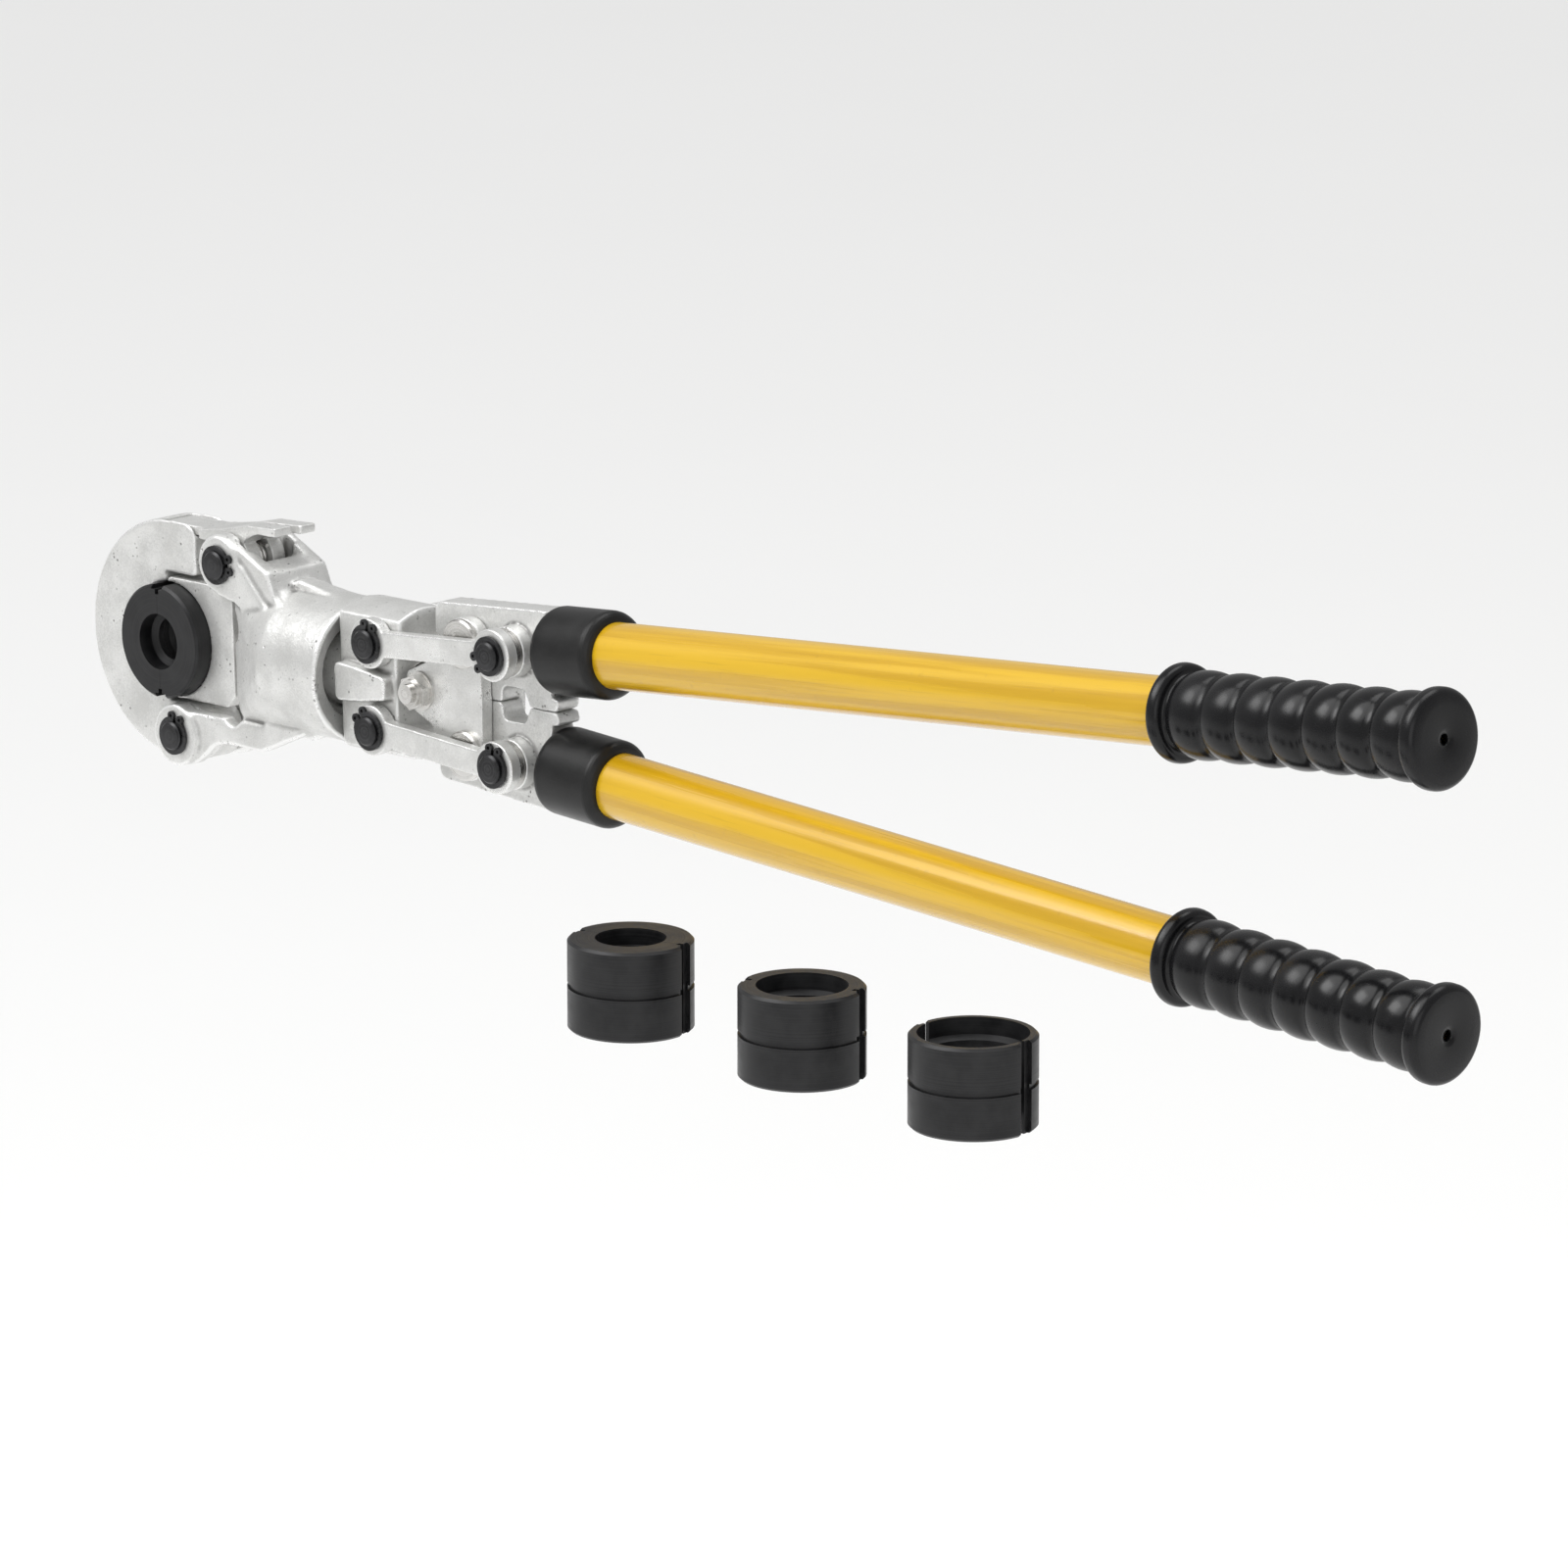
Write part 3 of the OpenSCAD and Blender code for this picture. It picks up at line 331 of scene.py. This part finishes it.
@dataclass(frozen=True)
class SilverPaint:
    """Silver paint over a forging or a plate, thin and lighter on its edges with a painted highlight, darker
    in its hollows with painted shade.
    """

    slot: str
    light: Colour
    dark: Colour
    # lighter colour on outer edges: worn paint and a painted highlight
    edge: Colour = (0.90, 0.90, 0.89, 1.0)
    # dark colour for the painted shade in hollows and for the dark pits
    hollow_shade_and_pits: Colour = (0.10, 0.095, 0.09, 1.0)
    metallic: float = 0.55
    gloss: tuple[float, float] = (0.30, 0.46)
    grain: float = 0.4
    wave: float = 1.0
    pits: float = 1.0
    bump: float = 0.30 * MM

    def build(self, effects: Effects) -> bpy.types.Material:
        """Builds the material; it reads the piece's edge attribute."""
        material, graph, shader = new_material(self.slot)
        vector = graph.add("ShaderNodeTexCoord").outputs["Object"]
        edge = graph.add("ShaderNodeAttribute", attribute_name=EDGE_ATTRIBUTE).outputs["Fac"]
        relief = graph.group(effects.relief, Vector=vector, Grain=self.grain, Wave=self.wave, Pits=self.pits)
        tone = graph.group(effects.tone, Light=self.light, Dark=self.dark, Edge_Colour=self.edge,
                           Grime=self.hollow_shade_and_pits, Mottle=relief.outputs["Mottle"], Edge=edge,
                           Pit_Mask=relief.outputs["Pit Mask"])
        graph.feed(shader.inputs["Base Color"], tone.outputs["Colour"])
        low, high = self.gloss
        rough = graph.remap(relief.outputs["Mottle"], 0.35, 0.65, high, low)
        rough = graph.math("SUBTRACT", rough, graph.math("MULTIPLY", tone.outputs["Edge Wear And Highlight"], 0.06))
        graph.feed(shader.inputs["Roughness"], rough)
        shader.inputs["Metallic"].default_value = self.metallic
        add_bump(graph, shader, relief.outputs["Height"], self.bump)
        return material


@dataclass(frozen=True)
class TurnedMetal:
    """Metal with rings from the lathe round its own axis."""

    slot: str
    light: Colour
    dark: Colour
    metallic: float
    gloss: tuple[float, float]
    rings: float = 900.0
    bump: float = 0.02 * MM

    def build(self, effects: Effects, label: str, centre: Vector, axis: Direction) -> bpy.types.Material:
        """Builds the material for one piece.

        Args:
            effects: the shared node groups.
            label: the piece's name.
            centre: a point on the piece's axis.
            axis: the main axis that it runs along.

        Returns:
            The material.
        """
        material, graph, shader = new_material(f"{self.slot}.{label}")
        vector = graph.place(centre, axis.value)
        marks = graph.group(effects.turning, Vector=vector, Rings_per_m=self.rings)
        tone = marks.outputs["Tone"]
        colour = graph.mix(graph.remap(tone, 0.38, 0.62), self.dark, self.light)
        graph.feed(shader.inputs["Base Color"], colour)
        low, high = self.gloss
        graph.feed(shader.inputs["Roughness"], graph.remap(tone, 0.36, 0.64, low, high))
        shader.inputs["Metallic"].default_value = self.metallic
        add_bump(graph, shader, marks.outputs["Height"], self.bump)
        return material


@dataclass(frozen=True)
class AmberLacquer:
    """Glossy amber lacquer on the handle tubes, with faint runs along them."""

    slot: str = "yellow_paint"
    light: Colour = (0.74, 0.45, 0.010, 1.0)
    dark: Colour = (0.60, 0.345, 0.006, 1.0)
    bare: Colour = (0.36, 0.20, 0.01, 1.0)
    bump: float = 0.05 * MM

    def build(self, effects: Effects, label: str, axis: "Line") -> bpy.types.Material:
        """Builds the material for the tube along one line."""
        material, graph, shader = new_material(f"{self.slot}.{label}")
        vector = graph.place(axis.start, axis.turn)
        runs = graph.group(effects.streaks, Vector=vector)
        relief = graph.group(effects.relief, Vector=vector, Wave_per_m=110.0, Pit_per_m=260.0,
                             Grain=0.12, Pits=0.35)
        colour = graph.mix(graph.remap(runs.outputs["Streak"], 0.36, 0.64), self.dark, self.light)
        mark = graph.math("MAXIMUM", graph.math("MULTIPLY", runs.outputs["Scratch"], 0.20),
                          graph.math("MULTIPLY", relief.outputs["Pit Mask"], 0.6))
        graph.feed(shader.inputs["Base Color"], graph.mix(mark, colour, self.bare))
        graph.feed(shader.inputs["Roughness"], graph.remap(runs.outputs["Streak"], 0.3, 0.7, 0.22, 0.34))
        shader.inputs["Coat Weight"].default_value = 0.6
        shader.inputs["Coat Roughness"].default_value = 0.12
        add_bump(graph, shader, relief.outputs["Height"], self.bump)
        return material


@dataclass(frozen=True)
class BlackPlastic:
    """Black paint or vinyl with a fine skin and a dusty bloom."""

    slot: str
    light: Colour
    dark: Colour
    gloss: tuple[float, float]
    grain: float
    bump: float
    sheen_level: float = 0.5

    def build(self, effects: Effects, label: str, axis: "Line") -> bpy.types.Material:
        """Builds the material for a piece along one line."""
        material, graph, shader = new_material(f"{self.slot}.{label}")
        vector = graph.place(axis.start, axis.turn)
        relief = graph.group(effects.relief, Vector=vector, Grain_per_m=2600.0, Wave_per_m=120.0,
                             Pit_per_m=700.0, Grain=self.grain, Wave=0.5, Pits=0.35)
        rub = graph.group(effects.streaks, Vector=vector, Along_per_m=60.0)
        rubbed = graph.math("MULTIPLY", rub.outputs["Scratch"], 0.12)
        tone = graph.math("ADD", relief.outputs["Mottle"], rubbed)
        colour = graph.mix(graph.remap(tone, 0.36, 0.68), self.dark, self.light)
        graph.feed(shader.inputs["Base Color"], colour)
        low, high = self.gloss
        graph.feed(shader.inputs["Roughness"], graph.remap(tone, 0.38, 0.64, low, high))
        shader.inputs["Specular IOR Level"].default_value = self.sheen_level
        add_bump(graph, shader, relief.outputs["Height"], self.bump)
        return material


SILVER_CASTING = SilverPaint("silver_casting", (0.78, 0.78, 0.765, 1.0), (0.60, 0.60, 0.585, 1.0))
SILVER_PLATE = SilverPaint("silver_plate", (0.78, 0.78, 0.765, 1.0), (0.62, 0.62, 0.605, 1.0),
                           gloss=(0.26, 0.40), grain=0.3, wave=0.5, pits=0.7, bump=0.16 * MM)
GROUND_STEEL = TurnedMetal("ground_steel", (0.74, 0.73, 0.71, 1.0), (0.50, 0.49, 0.47, 1.0),
                           1.0, (0.20, 0.36))
BLACK_PIN = TurnedMetal("black_pin", (0.045, 0.045, 0.047, 1.0), (0.010, 0.010, 0.011, 1.0),
                        0.55, (0.24, 0.42))
DIE_STEEL = TurnedMetal("die_steel", (0.020, 0.020, 0.021, 1.0), (0.008, 0.008, 0.009, 1.0),
                        0.30, (0.34, 0.50), rings=1500.0, bump=0.03 * MM)
AMBER = AmberLacquer()
COLLAR_PAINT = BlackPlastic("black_paint", (0.018, 0.018, 0.018, 1.0), (0.007, 0.007, 0.007, 1.0),
                            (0.28, 0.42), 0.25, 0.10 * MM, sheen_level=0.28)
VINYL = BlackPlastic("black_vinyl", (0.008, 0.008, 0.009, 1.0), (0.004, 0.004, 0.0045, 1.0),
                     (0.20, 0.30), 0.05, 0.04 * MM, sheen_level=0.30)


# ------------------------------------------------------------------- geometry


@dataclass(frozen=True)
class Line:
    """The axis of a long round piece, and how far the piece reaches along it."""

    start: Vector
    along: Vector
    length: float
    radius: float

    @property
    def turn(self) -> tuple[float, float, float]:
        """Rotation that lays the line along +X, for a Mapping node."""
        return (0.0, math.atan2(self.along.z, self.along.x), 0.0)

    @classmethod
    def of(cls, node: str, along: Vector | None = None) -> "Line":
        """Measures a node's axis from its own mesh.

        Args:
            node: the CAD node.
            along: its direction if that is known, or None to find it.

        Returns:
            The line, from the end nearest the origin.
        """
        points = vertex_array(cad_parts[node].data)
        middle = (points.min(axis=0) + points.max(axis=0)) / 2
        if along is None:
            spread = points - points.mean(axis=0)
            direction = np.linalg.svd(spread, full_matrices=False)[2][0]
            along = Vector(direction if direction[0] > 0 else -direction).normalized()
            along.y = 0.0
            along.normalize()
        reach = (points - middle) @ np.array(along)
        off_axis = (points - middle) - np.outer(reach, np.array(along))
        start = Vector(middle) + along * float(reach.min())
        return cls(start, along, float(np.ptp(reach)), float(np.linalg.norm(off_axis, axis=1).max()))


def vertex_array(mesh: bpy.types.Mesh) -> np.ndarray:
    """Returns a mesh's vertices as an array of points."""
    flat = np.empty(len(mesh.vertices) * 3)
    mesh.vertices.foreach_get("co", flat)
    return flat.reshape(-1, 3)


def add_object(name: str, mesh: bpy.types.Mesh) -> bpy.types.Object:
    """Links a mesh into the scene as a new object at the origin."""
    piece = bpy.data.objects.new(name, mesh)
    bpy.context.scene.collection.objects.link(piece)
    return piece


def evaluated(piece: bpy.types.Object, name: str) -> bpy.types.Mesh:
    """Returns a piece's mesh with its modifiers applied."""
    graph = bpy.context.evaluated_depsgraph_get()
    mesh = bpy.data.meshes.new_from_object(piece.evaluated_get(graph))
    mesh.name = name
    return mesh


def node_middle(*nodes: str) -> Vector:
    """Returns the middle of the box round some CAD nodes."""
    lows, highs = zip(*(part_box(node) for node in nodes))
    low = Vector(min(corner[i] for corner in lows) for i in range(3))
    high = Vector(max(corner[i] for corner in highs) for i in range(3))
    return (low + high) / 2


def dress_node(node: str, material: bpy.types.Material) -> None:
    """Gives a carried-over CAD node its finish."""
    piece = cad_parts[node]
    if not piece.material_slots:
        piece.data.materials.append(material)
    for slot in piece.material_slots:
        slot.material = material


@dataclass(frozen=True)
class Forging:
    """How finely a CAD node is rebuilt and how far its edges are rounded."""

    node: str
    voxel: float
    passes: int
    soft: float = 0.5

    def mark_edges(self, mesh: bpy.types.Mesh) -> None:
        """Stores how far each vertex stands out of its surroundings.

        Args:
            mesh: the rounded mesh; it gets the edge attribute, -1 in a hollow
                to 1 on an outer edge.
        """
        probe = add_object("probe", mesh.copy())
        smooth = probe.modifiers.new("smooth", "SMOOTH")
        smooth.factor = 0.5
        smooth.iterations = EDGE_PASSES
        relaxed = evaluated(probe, "relaxed")
        normals = np.empty(len(mesh.vertices) * 3)
        mesh.vertices.foreach_get("normal", normals)
        offset = ((vertex_array(mesh) - vertex_array(relaxed)) * normals.reshape(-1, 3)).sum(axis=1)
        layer = mesh.attributes.new(EDGE_ATTRIBUTE, "FLOAT", "POINT")
        layer.data.foreach_set("value", np.clip(offset / EDGE_OFFSET, -1.0, 1.0).astype(np.float32))
        discard(probe, probe.data, relaxed)

    def build(self, body: str, finish: SilverPaint, material: bpy.types.Material) -> bpy.types.Object:
        """Rebuilds the node with rounded edges and puts the copy in its place.

        Args:
            body: the body that the piece moves with.
            finish: its finish; not used.
            material: that finish's material.

        Returns:
            The new piece.
        """
        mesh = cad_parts[self.node].data.copy()
        mesh.materials.clear()
        shape = bmesh.new()
        shape.from_mesh(mesh)
        bmesh.ops.remove_doubles(shape, verts=shape.verts, dist=MERGE_DISTANCE)
        shape.to_mesh(mesh)
        shape.free()
        blank = add_object(self.node + "_blank", mesh)
        remesh = blank.modifiers.new("skin", "REMESH")
        remesh.mode = "VOXEL"
        remesh.voxel_size = self.voxel
        smooth = blank.modifiers.new("rounding", "SMOOTH")
        smooth.factor = self.soft
        smooth.iterations = self.passes
        skin = evaluated(blank, self.node + "_skin")
        discard(blank, mesh)
        for face in skin.polygons:
            face.use_smooth = True
        self.mark_edges(skin)
        skin.materials.append(material)
        piece = add_object(self.node + "_skin", skin)
        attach(piece, body)
        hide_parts(self.node)
        log.info("%s: %d faces", piece.name, len(skin.polygons))
        return piece


def discard(piece: bpy.types.Object, *meshes: bpy.types.Mesh) -> None:
    """Removes a helper object and the meshes it needed."""
    bpy.data.objects.remove(piece)
    for mesh in meshes:
        bpy.data.meshes.remove(mesh)


# ------------------------------------------------------------- sub-assemblies


@dataclass
class Head:
    """The forged head, the yoke screwed into its neck, and their pins and rings."""

    body: str = "head"
    castings: tuple[Forging, ...] = (Forging("head_body", 0.9 * MM, 12), Forging("yoke", 0.75 * MM, 7))
    pins: tuple[str, ...] = ("latch_pin", "jaw_pin", "yoke_pin_upper", "yoke_pin_lower")
    ring_sets: tuple[str, ...] = ("head_rings", "yoke_rings")

    def build(self, effects: Effects, silver: bpy.types.Material) -> None:
        """Rebuilds the castings and dresses the small steel pieces."""
        for casting in self.castings:
            casting.build(self.body, SILVER_CASTING, silver)
        for pin in self.pins:
            dress_node(pin, BLACK_PIN.build(effects, pin, node_middle(pin), Direction.ALONG_Y))
        for rings in self.ring_sets:
            dress_node(rings, BLACK_PIN.build(effects, rings, node_middle(rings), Direction.ALONG_Y))
        for steel in ("latch_spring", "neck_set_screws"):
            dress_node(steel, GROUND_STEEL.build(effects, steel, node_middle(steel), Direction.ALONG_Y))


@dataclass
class Jaws:
    """The hinged C jaw, the sliding jaw, the latch and the fitted dies."""

    c_jaw: Forging = Forging("c_jaw", 0.65 * MM, 14)
    sliding_jaw: Forging = Forging("sliding_jaw", 0.5 * MM, 6)
    latch: Forging = Forging("latch_lever", 0.4 * MM, 3)

    def build(self, effects: Effects, silver: bpy.types.Material) -> None:
        """Rebuilds the three castings and dresses dies and dowels."""
        self.c_jaw.build("hinged_jaw", SILVER_CASTING, silver)
        self.sliding_jaw.build("ram", SILVER_CASTING, silver)
        self.latch.build("latch", SILVER_CASTING, silver)
        fitted = ("c_jaw_die", "sliding_jaw_die")
        bore = DIE_STEEL.build(effects, "fitted", node_middle(*fitted), Direction.ALONG_Y)
        for die in fitted:
            dress_node(die, bore)
        for dowel in ("c_jaw_detent", "sliding_jaw_detent"):
            dress_node(dowel, GROUND_STEEL.build(effects, dowel, node_middle(dowel), Direction.ALONG_X))


@dataclass
class Linkage:
    """Push rod, centre plates, their fasteners, and the four links."""

    plate_voxel: float = 0.5 * MM
    plate_passes: int = 3
    link_passes: int = 5

    def build(self, effects: Effects, plate: bpy.types.Material) -> None:
        """Rebuilds plates and links and dresses rod, bolt and rivets."""
        for node in ("front_centre_plate", "back_centre_plate"):
            Forging(node, self.plate_voxel, self.plate_passes).build("ram", SILVER_PLATE, plate)
        for side in Side:
            for face in ("front", "back"):
                link = Forging(f"{side.value}_{face}_link", self.plate_voxel, self.link_passes)
                link.build(f"{side.value}_link", SILVER_PLATE, plate)
        for node in ("centre_bolt", "centre_nut", "centre_washers", "toggle_pin_upper", "toggle_pin_lower"):
            dress_node(node, GROUND_STEEL.build(effects, node, node_middle(node), Direction.ALONG_Y))
        rod = "push_rod"
        dress_node(rod, GROUND_STEEL.build(effects, rod, node_middle(rod), Direction.ALONG_X))


@dataclass
class Handle:
    """One lever with its pin, collar, tube and ringed grip."""

    side: Side
    lever_voxel: float = 0.65 * MM
    lever_passes: int = 6
    rings: int = 7
    flange: float = 6.0 * MM
    end_flange: float = 8.0 * MM
    groove_drop: float = 2.6 * MM
    ring_drop: float = 2.3 * MM
    hole: float = 1.9 * MM
    wall: float = 5.7 * MM
    swell_power: float = 0.55
    steps: int = 72
    ring_points: int = 9

    @property
    def body(self) -> str:
        """The body that the whole handle moves with."""
        return f"{self.side.value}_handle"

    def node(self, part: str) -> str:
        """Returns the name of one of this handle's CAD nodes."""
        return f"{self.side.value}_{part}"

    def grip_outline(self, line: Line) -> list[tuple[float, float]]:
        """Draws half the grip's section.

        Args:
            line: the grip's own axis and reach.

        Returns:
            Points of (distance along the axis, radius), from the mouth at the
            tube to the hole in the far end.
        """
        top = line.radius
        inner = top - self.wall
        crest = top - self.ring_drop
        root = crest - self.groove_drop
        first = self.flange + 1.2 * MM
        last = line.length - self.end_flange - 0.6 * MM
        pitch = (last - first) / self.rings
        points = [(0.0, inner)]
        points += arc(2.4 * MM, top - 2.6 * MM, 2.4 * MM, 180, 80, 6)
        points += arc(self.flange - 2.2 * MM, top - 2.8 * MM, 2.4 * MM, 80, -10, 6)
        for i in range(self.rings):
            for j in range(self.ring_points):
                t = j / self.ring_points
                swell = math.sin(math.pi * t) ** self.swell_power
                points.append((first + (i + t) * pitch, root + (crest - root) * swell))
        points.append((last, root))
        neck = line.length - self.end_flange
        points += arc(neck + 3.0 * MM, top - 3.0 * MM, 3.0 * MM, 190, 90, 7)
        points += arc(line.length - 3.4 * MM, top - 3.4 * MM, 3.4 * MM, 84, 14, 7)
        points += [(line.length - 0.2 * MM, top - 6.5 * MM), (line.length, self.hole + 2.6 * MM)]
        points += [(line.length - 0.5 * MM, self.hole + 0.5 * MM), (line.length - 1.2 * MM, self.hole)]
        points += [(line.length - 3.0 * MM, self.hole), (line.length - 3.0 * MM, inner)]
        return points

    def grip_mesh(self, line: Line) -> bpy.types.Mesh:
        """Spins the grip's section about its axis, hollow where the tube goes in."""
        shape = bmesh.new()
        outline = [shape.verts.new((x, 0.0, r)) for x, r in self.grip_outline(line)]
        outline.append(outline[0])
        edges = [shape.edges.new(pair) for pair in zip(outline, outline[1:])]
        bmesh.ops.spin(shape, geom=outline[:-1] + edges, cent=(0, 0, 0), axis=(1, 0, 0), dvec=(0, 0, 0),
                       angle=math.tau, steps=self.steps, use_merge=True, use_duplicate=False)
        bmesh.ops.remove_doubles(shape, verts=shape.verts, dist=SEAM_DISTANCE)
        bmesh.ops.recalc_face_normals(shape, faces=shape.faces)
        sideways = Vector((0.0, 1.0, 0.0))
        basis = Matrix((line.along, sideways, line.along.cross(sideways))).transposed().to_4x4()
        bmesh.ops.transform(shape, matrix=Matrix.Translation(line.start) @ basis, verts=shape.verts)
        mesh = bpy.data.meshes.new(self.node("grip_sleeve"))
        shape.to_mesh(mesh)
        shape.free()
        for face in mesh.polygons:
            face.use_smooth = True
        return mesh

    def build(self, effects: Effects, silver: bpy.types.Material) -> None:
        """Builds the lever and the grip, and dresses pin, rings, collar and tube."""
        lever = Forging(self.node("lever"), self.lever_voxel, self.lever_passes)
        lever.build(self.body, SILVER_CASTING, silver)
        tube = Line.of(self.node("tube"))
        grip_line = Line.of(self.node("grip"), tube.along)
        grip = add_object(self.node("grip_sleeve"), self.grip_mesh(grip_line))
        grip.data.materials.append(VINYL.build(effects, self.node("grip"), grip_line))
        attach(grip, self.body)
        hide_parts(self.node("grip"))
        log.info("%s: %d faces", grip.name, len(grip.data.polygons))
        dress_node(self.node("tube"), AMBER.build(effects, self.node("tube"), tube))
        dress_node(self.node("collar"), COLLAR_PAINT.build(effects, self.node("collar"), tube))
        for part in ("lever_pin", "lever_rings"):
            name = self.node(part)
            dress_node(name, BLACK_PIN.build(effects, name, node_middle(name), Direction.ALONG_Y))
        name = self.node("spacers")
        dress_node(name, GROUND_STEEL.build(effects, name, node_middle(name), Direction.ALONG_Y))


def arc(x: float, r: float, radius: float, start: float, end: float, steps: int) -> list[tuple[float, float]]:
    """Returns points round (x, r), from start to end degrees, 90 being outwards."""
    angles = [math.radians(start + (end - start) * i / steps) for i in range(steps + 1)]
    return [(x + radius * math.cos(a), r + radius * math.sin(a)) for a in angles]


@dataclass
class SpareDies:
    """The three loose die sets, which stand on their ends."""

    sizes: tuple[str, ...] = ("20", "26", "32")

    def build(self, effects: Effects) -> None:
        """Dresses each pair of halves with rings round the set's own bore."""
        for size in self.sizes:
            halves = [f"die_{size}_half_{half}" for half in "ab"]
            material = DIE_STEEL.build(effects, "set_" + size, node_middle(*halves), Direction.ALONG_Z)
            for half in halves:
                dress_node(half, material)


# --------------------------------------------------------------------- studio


@dataclass
class Studio:
    """Pale floor, soft lights and the camera."""

    floor_z: float = -0.62
    floor_half: float = 9.0
    floor_colour: Colour = (0.93, 0.93, 0.925, 1.0)
    lens: float = 240.4
    azimuth: float = 45.6
    elevation: float = 14.3
    distance: float = 4.343
    aside: float = 0.2463
    below: float = 0.0619

    def add_floor(self) -> None:
        """Lays a large pale floor, low enough that both handles swing clear of it."""
        shape = bmesh.new()
        bmesh.ops.create_grid(shape, x_segments=2, y_segments=2, size=self.floor_half)
        bmesh.ops.translate(shape, vec=(0.0, 0.0, self.floor_z), verts=shape.verts)
        mesh = bpy.data.meshes.new("floor")
        shape.to_mesh(mesh)
        shape.free()
        floor = add_object("floor", mesh)
        material, graph, shader = new_material("pale_floor")
        tone = graph.noise(graph.add("ShaderNodeTexCoord").outputs["Object"], 3.0)
        soft = tuple(0.985 * value for value in self.floor_colour[:3]) + (1.0,)
        graph.feed(shader.inputs["Base Color"], graph.mix(tone, self.floor_colour, soft))
        shader.inputs["Roughness"].default_value = 0.9
        mesh.materials.append(material)

    def add_light(self, name: str, place: tuple[float, float, float], size: float, power: float) -> None:
        """Adds a square soft light that faces the tool."""
        data = bpy.data.lights.new(name, "AREA")
        data.shape = "SQUARE"
        data.size = size
        data.energy = power
        light = bpy.data.objects.new(name, data)
        light.location = place
        aim = Vector((0.3, -0.05, 0.0)) - light.location
        light.rotation_euler = aim.to_track_quat("-Z", "Y").to_euler()
        bpy.context.scene.collection.objects.link(light)

    def add_sun(self) -> None:
        """Adds a very soft sun, which lights the whole floor evenly."""
        data = bpy.data.lights.new("sun", "SUN")
        data.angle = math.radians(50.0)
        data.energy = 1.45
        light = bpy.data.objects.new("sun", data)
        light.rotation_euler = (math.radians(28.0), math.radians(-18.0), 0.0)
        bpy.context.scene.collection.objects.link(light)

    def add_sky(self) -> None:
        """Sets an even pale surrounding light."""
        world = bpy.data.worlds.new("pale_room")
        world.use_nodes = True
        backdrop = world.node_tree.nodes["Background"]
        backdrop.inputs["Color"].default_value = (1.0, 1.0, 1.0, 1.0)
        backdrop.inputs["Strength"].default_value = 0.45
        bpy.context.scene.world = world

    def add_camera(self) -> None:
        """Places the camera and makes it the scene's own."""
        turn, lift = math.radians(self.azimuth), math.radians(self.elevation)
        back = Vector((math.cos(lift) * math.sin(turn), -math.cos(lift) * math.cos(turn), math.sin(lift)))
        right = Vector((math.cos(turn), math.sin(turn), 0.0))
        up = back.cross(right)
        data = bpy.data.cameras.new("camera")
        data.lens = self.lens
        data.sensor_width = 36.0
        data.clip_end = 60.0
        camera = bpy.data.objects.new("camera", data)
        place = back * self.distance + right * self.aside - up * self.below
        camera.matrix_world = Matrix.Translation(place) @ Matrix((right, up, back)).transposed().to_4x4()
        bpy.context.scene.collection.objects.link(camera)
        bpy.context.scene.camera = camera

    def build(self) -> None:
        """Sets up floor, light and camera."""
        bpy.context.scene.view_settings.view_transform = "Standard"
        self.add_floor()
        self.add_sky()
        self.add_sun()
        self.add_light("key", (-1.2, -2.0, 2.6), 1.5, 30.0)
        self.add_light("fill", (2.6, -1.8, 1.0), 2.0, 12.0)
        self.add_light("top", (0.5, 0.9, 2.8), 1.8, 24.0)
        self.add_camera()


def main() -> None:
    """Builds every sub-assembly."""
    logging.basicConfig(level=logging.INFO, format="%(name)s: %(message)s")
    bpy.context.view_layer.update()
    studio = Studio()
    studio.build()
    effects = Effects()
    silver = SILVER_CASTING.build(effects)
    plate = SILVER_PLATE.build(effects)
    Head().build(effects, silver)
    Jaws().build(effects, silver)
    Linkage().build(effects, plate)
    for side in Side:
        Handle(side).build(effects, silver)
    SpareDies().build(effects)


if __name__ == "__main__":
    main()
